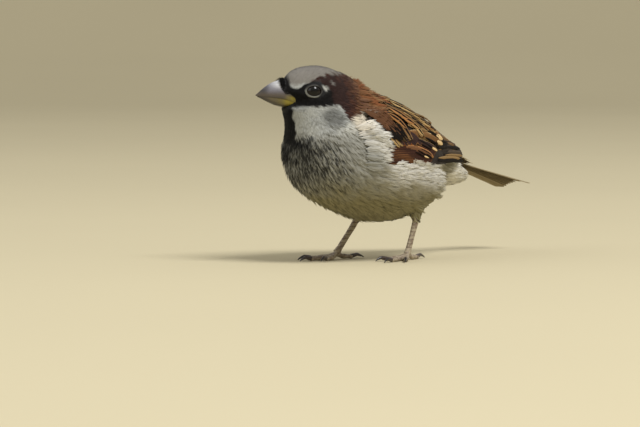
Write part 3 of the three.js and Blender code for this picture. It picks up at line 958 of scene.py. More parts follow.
def mottled(name, roughness, grain, bump, light, dull=None, stretch=None, colour=None, **sockets):
    """A material made lighter and darker by a grain. The grain is a texture, its output and
    its settings, and light is the ends of the colour's factor. The colour is the stored
    tint, unless one is given."""
    made = material(name, roughness, **sockets)
    tree = made.node_tree
    kind, output, settings = grain
    place = add(tree, "TexCoord").outputs["Object"]
    if stretch:
        place = add(tree, "Mapping", {"Vector": place, "Scale": stretch}).outputs["Vector"]
    height = add(tree, kind, {"Vector": place, **settings}).outputs[output]
    shaded = scaled(tree, colour or stored(tree, "tint"), ranged(tree, height, light))
    return finished(made, shaded, height, bump, dull)


SOFT_PLUMAGE = soft_plumage()
SKIN_LUMPS = ("TexNoise", "Fac", {"Scale": 1400.0, "Detail": 4.0})
BARE_SKIN = mottled(
    "bare_skin", 0.7, SKIN_LUMPS, (0.4, 0.1, False), (0.45, 0.8), Specular_IOR_Level=0.25,
)


def paint(piece, colours):
    """Stores a tint for each point of a piece, from one colour or a row of them."""
    attribute = piece.data.attributes.new("tint", "FLOAT_COLOR", "POINT")
    count = len(piece.data.vertices)
    rgba = np.concatenate([np.broadcast_to(colours, (count, 3)), np.ones((count, 1))], axis=1)
    attribute.data.foreach_set("color", rgba.astype(np.float32).ravel())


paint(skin, markings(points_of(skin)))
skin.data.materials.append(BARE_SKIN)
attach(skin, "root")
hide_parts(*FLESH)

# %% [markdown]
# ## The soft coat
# The coat is made in regions. Each has its own kit: how many locks a feather has, how wide
# it fans and how far its tip stands up. The face has tiny tufts of six short locks, and
# the body has longer feathers of eight.

# %% Where each root belongs
left_of, ahead_of, up_of = head_places(roots)
x, y, z = (roots / MM).T
from_bill = bill_distance(roots)
aside = np.abs(left_of)
in_bill = (ahead_of > eased(up_of, *FEATHER_EDGE, 0.4) - 0.45) & (aside < 7.5)
in_bill &= (up_of > -6.3) & (up_of < 6.2)
eye_away = np.minimum(*(np.linalg.norm(roots - np.array(EYES[side]), axis=1) for side in EYES)) / MM
eye_gap = EYE_RADIUS / MM + 0.25
at_eye = eye_away < eye_gap

WING_LOW = np.array(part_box("wing_left")[0]) / MM
WING_BEND = 14.0  # mm behind the wing's front, where the breast feathers still cover it
NEAR_WING = 2.4 * MM  # between the wings the coat ends this far from them
wing_surface = {side: surface_only(merged_copy("wing_" + side)) for side in EYES}


def under_wing(places, margin=3.0):
    """True where a wing's solid lies outside a place, and the place is further over the
    wing's foot than the margin."""
    x, y, z = (places / MM).T
    covered = np.zeros(len(places), bool)
    for index, place in enumerate(places):
        tree = wing_surface["left" if x[index] > 0 else "right"].tree
        out = 1 if x[index] > 0 else -1
        if WING_LOW[1] + WING_BEND < y[index] and z[index] > WING_LOW[2] + margin:
            for heading in ((out, 0, 0), (out * 0.6, 0, 0.8), (0, 0, 1)):
                covered[index] |= tree.ray_cast(Vector(place), Vector(heading))[0] is not None
        if y[index] > -4 and z[index] > 39:
            covered[index] |= tree.find_nearest(Vector(place))[3] < NEAR_WING
    return covered


BODY_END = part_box("trunk")[1][1] / MM
COAT_END = BODY_END - 6
at_tail = y > COAT_END
free = ~in_bill & ~at_eye & ~under_wing(roots) & ~at_tail
head_region = from_bill < 17
nape_region = ~head_region & (up_of > -9) & (y < -30) & (from_bill < 34)
back_region = ~head_region & ~nape_region & (z - 0.18 * y > 50)
thigh_region = (z < 19) & (y > -22) & (y < 2) & (np.abs(x) > 6.5)
breast_region = ~head_region & ~nape_region & ~back_region & ~thigh_region & (y < -33)
rear_region = ~back_region & (y > 4) & ~thigh_region
belly_region = ~(head_region | nape_region | back_region | thigh_region | breast_region | rear_region)

BODY_AXIS = ((0, 0, 0.038), (0, 1, 0))
HEAD_AXIS = (HEAD, AHEAD)
LEG_AXIS = ((0, 0, 0.02), (0, 0, 1))
BODY_KIT = (LOCK, 8, 0.24, 0.085, 0.06)
REGIONS = {
    # name: where, kit, width over length, tip height in mm, unwrap
    "face": (head_region, kit_of(SHORT_LOCK, 6, 0.26, 0.12, 0.12), 1.0, 0.3, HEAD_AXIS),
    "nape": (nape_region, kit_of(LOCK, 7, 0.24, 0.09, 0.10), 0.9, 0.55, HEAD_AXIS),
    "mantle": (back_region, kit_of(LOCK, 7, 0.26, 0.08, 0.10), 0.8, 0.8, BODY_AXIS),
    "breast": (breast_region, kit_of(*BODY_KIT), 0.9, 0.7, BODY_AXIS),
    "belly": (belly_region, kit_of(*BODY_KIT), 0.9, 0.8, BODY_AXIS),
    "rump_and_vent": (rear_region, kit_of(*BODY_KIT), 0.85, 0.9, BODY_AXIS),
    "thighs": (thigh_region, kit_of(LOCK, 5, 0.26, 0.12, 0.14), 0.8, 0.7, LEG_AXIS),
}

# %% [markdown]
# A region becomes one mesh or a few, laid from front to rear, so that every piece stays
# light enough to handle. Low on the breast the plumage is fluffed up, so tips stand higher.

# %% Lay the soft coat
MOST_FEATHERS = 1400  # in one piece, which keeps each under 200,000 triangles
FLUFFED = 0.9 * MM  # how much higher the tips stand low on the breast


def low_breast(places):
    """Where the plumage is fluffed up, low on the front of the breast."""
    _, y, z = (places / MM).T
    return smooth(y, -16, -30) * smooth(z, 14, 20) * smooth(z, 46, 34)


def lay_region(region, there, kits, width, tip, unwrap, short=1.0):
    """A region in as many pieces as it needs, from front to rear."""
    order = np.argsort(there[:, 1])
    count = math.ceil(len(there) / MOST_FEATHERS)
    for number, own in enumerate(np.array_split(order, max(count, 1))):
        near_end = smooth(there[own, 1] / MM, BODY_END - 15, COAT_END)
        lengths = coat_length(there[own]) * short * (1 - 0.6 * near_end)
        tips = np.full(len(own), tip * MM) + FLUFFED * low_breast(there[own])
        title = f"plumage_{region}" + (f"_{number + 1}" if count > 1 else "")
        piece = coat(title, body, there[own], kits, lengths, lengths * width, tips, unwrap)
        piece.data.materials.append(SOFT_PLUMAGE)
        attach(piece, "root")


for region, (chosen, kits, width, tip, unwrap) in REGIONS.items():
    short = 0.55 if region == "thighs" else 1.0
    lay_region(region, roots[chosen & free], kits, width, tip, unwrap, short)

# %% [markdown]
# ## Tubes from grids
# The bill, lids, toes and claws are all tubes whose section changes along the way. A flat
# grid is added, its points are moved onto the tube's surface, and the seam's doubles are
# merged. The open ends are filled, so that each piece is one closed body.

# %% Tube helper


def tube(name, rows, sides, place, capped=True):
    """A closed tube: place(around, along) gives a world point for shares from 0 to 1."""
    bpy.ops.object.select_all(action="DESELECT")
    bpy.ops.mesh.primitive_grid_add(x_subdivisions=sides, y_subdivisions=rows, size=1)
    piece = bpy.context.object
    piece.name = name
    piece.data.name = name
    flat = points_of(piece) + 0.5
    set_points(piece, place(flat[:, 0], flat[:, 1]))
    cleaned(piece, 0.004 * MM, capped)
    piece.data.shade_smooth()
    return piece


# %% [markdown]
# ## Eyes
# A sparrow's eye is nearly black: a dark brown iris round a black pupil, under a clear
# cornea that stands out a little. A sphere is turned so that its pole looks out of the head,
# and its points near the pole are drawn outwards. A clear coat gives the wet shine.

# %% Eyes
PUPIL = math.radians(20)
IRIS = math.radians(42)
CORNEA_RISE = 0.09


def eye_axes(side):
    """Out of the head, ahead and up, as the eye looks."""
    sign = 1 if side == "left" else -1
    out = (LEFT * sign + AHEAD * 0.16 + UP * 0.04).normalized()
    ahead = (AHEAD - out * AHEAD.dot(out)).normalized()
    up = UP - out * UP.dot(out) - ahead * UP.dot(ahead)
    return out, ahead, up.normalized()


IRIS_FIBRES = ("TexNoise", "Fac", {"Scale": 3500.0, "Detail": 3.0})
EYE_FINISH = mottled(
    "eye", 0.2, IRIS_FIBRES, (0.05, 0.02, False), (0.7, 1.3),
    Coat_Weight=0.4, Coat_Roughness=0.02, Specular_IOR_Level=0.08,
)
IRIS_TONE = tone(18, 13, 11)
PUPIL_TONE = tone(10, 9, 9)
for side in EYES:
    bpy.ops.object.select_all(action="DESELECT")
    bpy.ops.mesh.primitive_uv_sphere_add(segments=48, ring_count=32, radius=1)
    eyeball = bpy.context.object
    eyeball.name = "eyeball_" + side
    ball = points_of(eyeball)
    out, ahead, up = (np.array(axis) for axis in eye_axes(side))
    off_axis = np.arccos(np.clip(ball[:, 2], -1, 1))
    rise = 1 + CORNEA_RISE * smooth(off_axis, IRIS * 1.15, 0)
    ball = ball * (EYE_RADIUS * rise)[:, None]
    turned = ball[:, :1] * ahead + ball[:, 1:2] * up + ball[:, 2:] * out
    set_points(eyeball, turned + np.array(EYES[side]))
    cleaned(eyeball, 0.001 * MM)
    off_axis = np.arccos(np.clip(unit(points_of(eyeball) - np.array(EYES[side])) @ out, -1, 1))
    ring = smooth(off_axis, PUPIL * 0.95, PUPIL * 1.05) * smooth(off_axis, IRIS * 1.1, IRIS * 0.95)
    paint(eyeball, blend(PUPIL_TONE, IRIS_TONE, ring))
    eyeball.data.shade_smooth()
    eyeball.data.materials.append(EYE_FINISH)
    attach(eyeball, "root")
    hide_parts("eye_" + side)
print("cornea stands", round(CORNEA_RISE * EYE_RADIUS / MM, 2), "mm out")

# %% [markdown]
# ## Lids
# Round each eye lies a ring of bare skin, the edge of the lids, beaded with tiny folds and
# thicker below. It hugs the eyeball, and its outer rim dips under the feathers. It is
# joined to the skin, because on the bird it is the same skin.

# %% Lids
LID_OPENING = (2.45, 1.72)  # half the opening, along the head and up
LID_TONE = tone(152, 153, 148)
LID_DARK = tone(40, 36, 34)
# The lid's section, closed: further from the eye's axis, and over the eyeball.
LID_FURTHER = (0.0, 0.10, 0.35, 0.75, 1.2, 1.65, 1.2, 0.4, 0.0)
LID_OVER = (-0.06, 0.20, 0.34, 0.36, 0.22, -0.1, -0.5, -0.45, -0.06)
LID_STEPS = np.arange(len(LID_OVER))


def lid(side):
    out, ahead, up = (np.array(axis) for axis in eye_axes(side))
    centre = np.array(EYES[side])

    def place(around, along):
        angle = around * 2 * math.pi
        step = along * LID_STEPS[-1]
        further = eased(step, LID_STEPS, LID_FURTHER, 0.3)
        over = eased(step, LID_STEPS, LID_OVER, 0.3)
        heavier = 1 + 0.22 * np.maximum(-np.sin(angle), 0)
        beads = 1 + 0.05 * np.sin(angle * 34) * smooth(over, 0.1, 0.3)
        ahead_by = np.cos(angle) * (LID_OPENING[0] + further * heavier)
        up_by = np.sin(angle) * (LID_OPENING[1] + further * heavier)
        aside = np.hypot(ahead_by, up_by)
        radius = EYE_RADIUS / MM * (1 + 0.02 * smooth(aside, 3, 2)) + over * beads
        out_by = np.sqrt(np.maximum(radius**2 - aside**2, 0.01))
        spread = ahead_by[:, None] * ahead + up_by[:, None] * up + out_by[:, None] * out
        return centre + spread * MM

    ring = tube("lid_" + side, 40, 96, place, capped=False)
    offset = points_of(ring) - centre
    far = np.hypot(offset @ ahead / LID_OPENING[0], offset @ up / LID_OPENING[1]) / MM
    # Painted shade under the brow: the top of the lid ring is darkened, and its pale band is made
    # narrower there.
    shade_under_brow = smooth(offset @ up / MM, -0.3, 1.5)
    behind = smooth(offset @ ahead / MM, -1.2, -2.4)
    edge = smooth(far, 1.16, 1.04)
    dark = np.clip(0.85 * shade_under_brow + 0.75 * behind + edge, 0, 1)
    colour = blend(LID_TONE, LID_DARK, dark)
    paint(ring, blend(colour, BLACK, smooth(far, 1.34 - 0.08 * shade_under_brow, 1.5)))
    ring.data.materials.append(BARE_SKIN)
    return ring


lids = [lid(side) for side in EYES]
skin = joined([skin, *lids], "skin")
print("skin with lids:", len(skin.data.polygons), "faces")

# %% [markdown]
# ## Bill
# A seed eater's bill is a short thick cone in two halves. The ridge of the upper half bows
# down to the tip, and its cutting edge overhangs the lower half and bends down at the gape.
# Each half is a tube with a D-shaped section. Both start inside the face, so the feathers
# grow against them.

# %% Bill
NOSTRIL = (2.5, 11.2, 3.2)  # aside, ahead, up
HORN_GREY = tone(104, 102, 110)
HORN_DARK = tone(44, 40, 40)
HORN_PAINTED_HIGHLIGHT = tone(186, 187, 190)
GAPE_YELLOW = tone(142, 128, 34)
HORN_BROWN = tone(74, 64, 52)
HORN_OLIVE = tone(104, 94, 54)


def bill_half(is_upper):
    tip = BILL_TIP if is_upper else LOWER_TIP

    def place(around, along):
        forward = BILL_ROOT + (tip - BILL_ROOT) * (1 - (1 - along) ** 1.25)
        bite = eased(forward, *BITE, 0.7)
        width = eased(forward, *HALF_WIDTH, 0.5) * (1.0 if is_upper else 0.93)
        angle = around * 2 * math.pi
        swell = np.sin(angle)
        outer = np.sign(swell) * np.abs(swell) ** 0.85
        if is_upper:
            height = np.maximum(eased(forward, *CULMEN, 0.6) - bite, 0.15)
            rise = np.where(outer > 0, outer * height, outer * 0.35 * width / 4)
            lip = -0.22 * np.abs(np.cos(angle)) ** 6 * smooth(along, 1, 0.8)
        else:
            depth = np.maximum(bite - eased(forward, *GONYS, 0.6), 0.15)
            rise = np.where(outer < 0, outer * depth, outer * 0.25 * width / 4) - 0.08
            lip = 0.0
        across = width * np.cos(angle) * (1 - 0.10 * np.clip(outer, 0, 1) ** 2)
        ridge = 0.12 * np.exp(-((across / 0.5) ** 2)) * smooth(along, 0.9, 0.6) if is_upper else 0.0
        up = bite + rise + lip + ridge * (outer > 0)
        if is_upper:
            dent = np.hypot((forward - NOSTRIL[1]) / 0.75, (up - NOSTRIL[2]) / 0.45)
            across = across - np.sign(across) * 0.4 * smooth(dent, 1.3, 0.4)
        return in_head(across, forward, up)

    name = "bill_upper_horn" if is_upper else "bill_lower_horn"
    half = tube(name, 72, 56, place)
    left, ahead, up = head_places(points_of(half))
    grain = noise(points_of(half), 2.2, 31)
    # Painted highlight: the top of the upper half near its root is made pale, where light from overhead
    # falls.
    colour = blend(HORN_GREY, HORN_PAINTED_HIGHLIGHT, smooth(up, 1.4, 4.0) * smooth(ahead, 18, 12.5))
    colour = blend(colour, HORN_DARK, smooth(ahead + 1.2 * grain, 16.4, 20.6))
    gape = np.hypot((ahead - 8.4) / 3.4, (up + 2.3) / 2.6) + 0.35 * grain
    if is_upper:
        colour = blend(colour, HORN_BROWN, 0.9 * smooth(up, 2.0, -0.2))
        # Painted shade: the nostril's shallow dent is painted black, for the shade inside its opening.
        dent = np.hypot((ahead - NOSTRIL[1]) / 0.75, (up - NOSTRIL[2]) / 0.45)
        colour = blend(colour, BLACK, smooth(dent, 1.1, 0.5) * smooth(np.abs(left), 1.2, 1.8))
    else:
        colour = blend(colour, HORN_BROWN, 0.85 * smooth(ahead, 21.0, 17.5))
        colour = blend(colour, HORN_OLIVE, smooth(ahead + 1.5 * grain - 0.4 * (up + 3), 18.0, 13.0))
    colour = blend(colour, GAPE_YELLOW, smooth(gape, 1.3, 0.75))
    bite = eased(ahead, *BITE, 0.7)
    colour = blend(colour, HORN_DARK, 0.55 * smooth(np.abs(up - bite + 0.1), 0.34, 0.1))
    if not is_upper:
        # Painted shadow: the lower half darkens towards its underside.
        colour = blend(colour, HORN_DARK, 0.7 * smooth(up - eased(ahead, *GONYS, 0.6), 1.3, 0.3))
    beyond = ahead - eased(up, *FEATHER_EDGE, 0.4)
    colour = blend(colour, BLACK, smooth(beyond, 0.9, 0.3) * smooth(up, -0.4, 1.2))
    paint(half, colour)
    return half


HORN_GRAIN = ("TexNoise", "Fac", {"Scale": 900.0, "Detail": 5.0})
HORN = mottled(
    "bill_horn", 0.34, HORN_GRAIN, (0.18, 0.06, False), (0.78, 1.22), dull=(0.26, 0.5),
    stretch=(1.0, 1.0, 3.0), Specular_IOR_Level=0.5, Coat_Weight=0.25, Coat_Roughness=0.2,
)
for is_upper, node in ((True, "bill_upper"), (False, "bill_lower")):
    half = bill_half(is_upper)
    half.data.materials.append(HORN)
    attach(half, "root")
    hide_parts(node)
    print(half.name, len(half.data.polygons), "faces")
    if is_upper:
        bill_surface = Surface(half)

# %% [markdown]
# ## Bristles at the bill
# Short black bristles grow forwards from the face over the base of the ridge and over the
# nostrils. They are laid on the bill like feathers on the skin, only pointing the other way.

# %% Bristles


def forwards(places, normals):
    flow = HEAD_AXES[1] - 0.25 * HEAD_AXES[2] + 0 * normals
    return unit(along_surface(flow, normals))


bristle_roots = bill_surface.scattered(60000)
left_of, ahead_of, up_of = head_places(bristle_roots)
from_edge = ahead_of - eased(up_of, *FEATHER_EDGE, 0.4)
near_edge = (from_edge > -1.3) & (from_edge < 0.25) & (up_of > 0.4) & (ahead_of > 6)
bristle_roots = spread_roots(bristle_roots[near_edge], np.full(near_edge.sum(), 0.2 * MM))
high = smooth(head_places(bristle_roots)[2], 1.5, 5.0)
bristles = coat(
    "bristles", bill_surface, bristle_roots, kit_of(SHORT_LOCK, 3, 0.2, 0.14, 0.12),
    (0.8 + 0.45 * high) * MM, (0.9 + 0.3 * high) * MM, (0.25 + 0.65 * high**2) * MM,
    HEAD_AXIS, yaw=0.2, guide=forwards, tint=lambda places: np.broadcast_to(BLACK, places.shape),
)
bristles.data.materials.append(SOFT_PLUMAGE)
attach(bristles, "root")

# %% [markdown]
# ## Legs and feet
# The tarsus carries a row of overlapping plates down its front, and each toe has small
# plates on top and soft pads below. Tarsus and toes are made as tubes with that relief,
# and a fine remesh melts them into one skin, so that no toe looks stuck on. Where the
# soles meet the floor they are pressed flat.

# %% Legs
# The legs' places are those of the drawing that the solids come from, with the head here.
HEAD_IN_DRAWING = (-3.8, -29.0, 61.6)
FRAME_OFFSET = np.array(HEAD) / MM - np.array(HEAD_IN_DRAWING)
LEG_PLACES = {
    # foot on the floor, ankle, hip, which way the middle toe points, and the outer side
    "left": ((11.2, 7.0), (12.2, 10.2, 13.4), (12.4, 12.5, 22), 14, 1),
    "right": ((-11.2, -7.4), (-10.6, 2.2, 13.0), (-10.8, 7.5, 22), -4, -1),
}
TOES = {
    # degrees from the middle toe, length, claw's length
    "inner": (-24, 10.5, 4.6),
    "middle": (0, 13.5, 5.2),
    "outer": (24, 10.8, 4.4),
    "hind": (180, 8.2, 6.4),
}
FOOT_HEIGHT = 2.3  # where the toes meet, over the floor
SOLE = 0.8  # the middle of a toe over the floor
TOE_RADIUS = 0.92
LEG_VOXEL = 0.17 * MM
LEG_TONE = tone(166, 154, 132)
LEG_DARK = tone(98, 76, 66)
SCUTES_ON_TARSUS = 12
SCUTES_ON_TOE = 9


# %% [markdown]
# A limb is a tube bent along a path with rounded corners. Its plates are a saw-tooth in the
# tube's size, on the upper or front side only, so each plate's lower edge stands out.

# %% Limbs
def rounded_path(points, share):
    """Places along a polyline of points at shares of its length, corners rounded."""
    points = np.array(points, float)
    steps = np.linalg.norm(np.diff(points, axis=0), axis=1)
    at = np.concatenate([[0], np.cumsum(steps)]) / steps.sum()
    return np.stack([eased(np.clip(share, 0, 1), at, points[:, k], 0.07) for k in range(3)], axis=-1)


def limb(name, points, radius, rows, sides, plates, deep=1.0):
    """A tube along points whose upper or front side carries overlapping plates."""

    def place(around, along):
        centre = rounded_path(points, along)
        step = unit(rounded_path(points, along + 0.01) - rounded_path(points, along - 0.01))
        front = np.where(np.abs(step[:, 2:3]) > 0.8, np.array([[0, -1.0, 0]]), np.array([[0, 0, 1.0]]))
        front = unit(along_surface(front, step))
        side = np.cross(step, front)
        angle = around * 2 * math.pi
        saw = (along * plates) % 1
        relief = 0.09 * (saw - 0.5) * smooth(np.cos(angle), -0.1, 0.5)
        size = radius(along) * (1 + relief)
        spread = side * (size * np.sin(angle))[:, None] + front * (size * deep * np.cos(angle))[:, None]
        return (centre + spread + FRAME_OFFSET) * MM

    return tube(name, rows, sides, place)


def press_on_floor(piece):
    """Flattens what reaches below the floor, and gives the points as they are then."""
    pressed = points_of(piece)
    pressed[:, 2] = np.maximum(pressed[:, 2], 0)
    set_points(piece, pressed)
    return pressed


def toe_radius(length):
    turns = 2 * math.pi * (3 if length > 12 else 2)
    return lambda along: TOE_RADIUS * (1.08 - 0.25 * along + 0.09 * np.cos(turns * along))


def tarsus_radius(along):
    return np.interp(along, [0, 0.12, 0.5, 0.85, 1], [1.42, 1.12, 0.96, 1.02, 1.35])


def leg(side):
    """One leg, and where each of its claws starts, which way it goes and how long it is."""
    foot, ankle, hip, heading, outward = LEG_PLACES[side]
    foot = np.array((*foot, FOOT_HEIGHT))
    ankle = np.array(ankle)
    knee = ankle + (np.array(hip) - ankle) * 0.35
    parts = [limb("tarsus", [knee, ankle, foot], tarsus_radius, 90, 28, SCUTES_ON_TARSUS, 1.15)]
    tips = {}
    for name, (swing, length, claw_length) in TOES.items():
        turn = math.radians(heading + swing * outward)
        ahead = np.array((math.sin(turn), -math.cos(turn), 0))
        start = foot - ahead * 0.4
        bend = foot * (1, 1, 0) + ahead * 3.2 + (0, 0, SOLE + 0.35)
        end = foot * (1, 1, 0) + ahead * length + (0, 0, SOLE)
        parts.append(limb(name, [start, bend, end], toe_radius(length), 80, 24, SCUTES_ON_TOE))
        tips[name] = (end, ahead, claw_length)
    whole = reshaped(joined(parts, "leg_" + side), LEG_VOXEL, rounds=2)
    press_on_floor(whole)
    return whole, tips


def leg_colour(places, side):
    """Pinkish brown, darker between the plates and towards the toes."""
    spots = noise(places, 1.1, 41 if side == "left" else 42)
    height = places[:, 2] / MM
    colour = blend(LEG_TONE, LEG_DARK, 0.55 * smooth(spots, 0.4, 0.8))
    rings = np.sin(height * 2 * math.pi / 1.45) * smooth(height, 3, 4)
    foot = np.array(LEG_PLACES[side][0]) + FRAME_OFFSET[:2]
    away = np.linalg.norm(places[:, :2] / MM - foot, axis=1)
    bands = np.sin(away * 2 * math.pi / 1.15) * smooth(away, 1.5, 3)
    bands = bands * smooth(height, 0.9, 1.3) * smooth(height, 4, 3)
    return blend(colour, LEG_DARK, 0.75 * smooth(np.maximum(rings, bands), 0.6, 0.95))


LEG_CELLS = ("TexVoronoi", "Distance", {"Scale": 2600.0})
LEG_SKIN = mottled(
    "leg_skin", 0.5, LEG_CELLS, (0.3, 0.08, True), (1.1, 0.75), dull=(0.4, 0.65),
    Specular_IOR_Level=0.4,
)
claw_bases = {}
for side in LEG_PLACES:
    limbs, claw_bases[side] = leg(side)
    paint(limbs, leg_colour(points_of(limbs), side))
    limbs.data.materials.append(LEG_SKIN)
    limbs.data.shade_smooth()
    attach(limbs, "root")
    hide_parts("tarsus_" + side, *(f"toe_{name}_{side}" for name in TOES))
    print(limbs.name, len(limbs.data.polygons), "faces")

# %% [markdown]
# ## Claws
# Each claw is a thin horn that leaves the toe, arches and comes down to the floor. It is
# deeper than wide and has a blunt point.

# %% Claws
CLAW_HORN = tone(58, 46, 42)
CLAW_TIP = tone(24, 20, 19)


def claw(name, end, ahead, length):
    start = end - ahead * 0.7 + (0, 0, 0.15)
    crest = end + ahead * length * 0.42 + (0, 0, 0.75)
    fall = end + ahead * length * 0.8 + (0, 0, 0.1)
    tip = end + ahead * length + (0, 0, 0.22 - SOLE)

    def thickness(along):
        return 0.66 * (1 - along**1.4) + 0.1

    piece = limb(name, [start, crest, fall, tip], thickness, 36, 18, 0, 1.15)
    low = press_on_floor(piece)
    along = np.linalg.norm(low / MM - FRAME_OFFSET - end, axis=1) / length
    paint(piece, blend(CLAW_HORN, CLAW_TIP, smooth(along, 0.2, 0.9)))
    return piece


for side, bases in claw_bases.items():
    for toe_name, (end, ahead, length) in bases.items():
        piece = claw(f"claw_{toe_name}_{side}_horn", end, ahead, length)
        piece.data.materials.append(HORN)
        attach(piece, "root")
        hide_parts(f"claw_{toe_name}_{side}")

# %% [markdown]
# ## Vaned feathers
# Wing and tail feathers are flat blades: a shaft with a vane on each side. A small grid is
# added and given a thickness by the solidify modifier, so it is a closed thin blade. Every
# vane is that blade, drawn to its own outline, bent over the body and cambered across.

# %% Blade
BLADE_ACROSS = 8
BLADE_ALONG = 14
QUILL_WIDTH = 0.14
VANE_THICKNESS = 0.09 * MM


def model_blade(across, along):
    """Points (across -1 to 1, along 0 to 1, top 1 or underside 0) and triangles of a blade."""
    bpy.ops.object.select_all(action="DESELECT")
    bpy.ops.mesh.primitive_grid_add(x_subdivisions=across, y_subdivisions=along, size=2)
    blade = bpy.context.object
    solid = blade.modifiers.new("thick", "SOLIDIFY")
    solid.thickness = 1
    solid.offset = -1
    blade.modifiers.new("triangles", "TRIANGULATE")
    apply_modifiers(blade)
    places = points_of(blade)
    return as_arrays(blade, places[:, 0], places[:, 1] / 2 + 0.5, places[:, 2] + 1)


BLADE = model_blade(BLADE_ACROSS, BLADE_ALONG)
SMALL_BLADE = model_blade(4, 8)
print("blade:", len(BLADE[1]), "triangles, small blade:", len(SMALL_BLADE[1]))

# %% [markdown]
# Each vane is told by a few numbers: where its spine runs, how wide it is on each side of
# the shaft, how blunt its tip is, and its colours. The pattern is told by where the edging
# starts across and along, and by how far the dark centre is shifted to one side.

# %% Vanes as arrays


def outline(along, blunt):
    """Share of the full width at a share of the length."""
    rise = QUILL_WIDTH + (1 - QUILL_WIDTH) * np.clip(along / 0.3, 0, 1) ** 0.7
    fall = (1 - np.clip((along - blunt) / (1 - blunt), 0, 1) ** 2.2) ** 0.55
    return np.maximum(rise * fall, 0.05)


class Vanes:
    """Collects vanes, and makes them into one mesh."""

    def __init__(self, blade):
        self.shape, self.corners = blade
        self.rows = []

    def lay(self, path, widths, blunt, camber, heights, colours, pattern):
        """One vane. The path holds places from root to tip and the way they face, and the
        widths on either side are in mm, as are its heights over the path at root and tip.
        The colours are those of its centre and its edging."""
        spine, facing = path
        low, high = widths
        across, along, top = self.shape.T
        wide = outline(along, blunt)
        ragged = 1 - 0.22 * (np.abs(across) > 0.99) * (RANDOM.random(len(along)) > 0.86)
        span = np.where(across < 0, low, high) * across * wide * ragged
        centres = along_spine(spine[None], along)[0]
        up = unit(along_spine(facing[None], along)[0])
        step = unit(along_spine(np.gradient(spine, axis=0)[None], along)[0])
        side = unit(np.cross(up, step))
        shaft = 0.10 * np.exp(-((span / 0.25) ** 2))
        height = heights[0] + (heights[1] - heights[0]) * along
        height = height - camber * (span / max(low, high)) ** 2 + shaft
        depth = (1 - top) * VANE_THICKNESS / MM * (1 - 0.5 * np.abs(across))
        points = centres + side * (span * MM)[:, None] + up * ((height - depth) * MM)[:, None]
        self.rows.append((points, *colours, (*pattern, RANDOM.random())))

    def mirror(self):
        """Turns the vanes of the left side into those of the right one, or back."""
        self.rows = [(points * (-1, 1, 1), *others) for points, *others in self.rows]
        self.corners = self.corners[:, ::-1]

    def made(self, name, finish, bake_places, patch):
        """The vanes as one mesh, with each one's own patch in the OFBake map."""
        count, size = len(self.rows), len(self.shape)
        points = np.concatenate([row[0] for row in self.rows])
        corners = repeated(self.corners, count, size)
        local = np.stack([(self.shape[:, 0] + 1) / 2, self.shape[:, 1]], axis=1)
        vane = np.tile(local, (count, 1))
        bake = (bake_places[:, None] + (local * patch)[None]).reshape(-1, 2)
        colours = {
            "tint": np.repeat([row[1] for row in self.rows], size, axis=0),
            "edging": np.repeat([row[2] for row in self.rows], size, axis=0),
            "pattern": np.repeat([row[3] for row in self.rows], size, axis=0),
        }
        piece = mesh_of(name, points, corners, {"OFBake": bake, "Vane": vane}, colours)
        piece.data.materials.append(finish)
        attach(piece, "root")
        print(f"{name}: {count} vanes, {len(corners)} triangles")
        return piece


def in_rows(count, columns, rows):
    """Bake places side by side, because each vane's pattern needs room of its own."""
    number = np.arange(count)
    places = np.stack([(number % columns) / columns, (number // columns) / rows], axis=1)
    return 0.01 + places * 0.98


# %% [markdown]
# ## Finish of vanes
# Barbs slant from the shaft to the edge, so the fine lines are drawn along that slant, on
# both sides of the shaft. The edging colour comes in towards the edges and the tip.

# %% Vane material


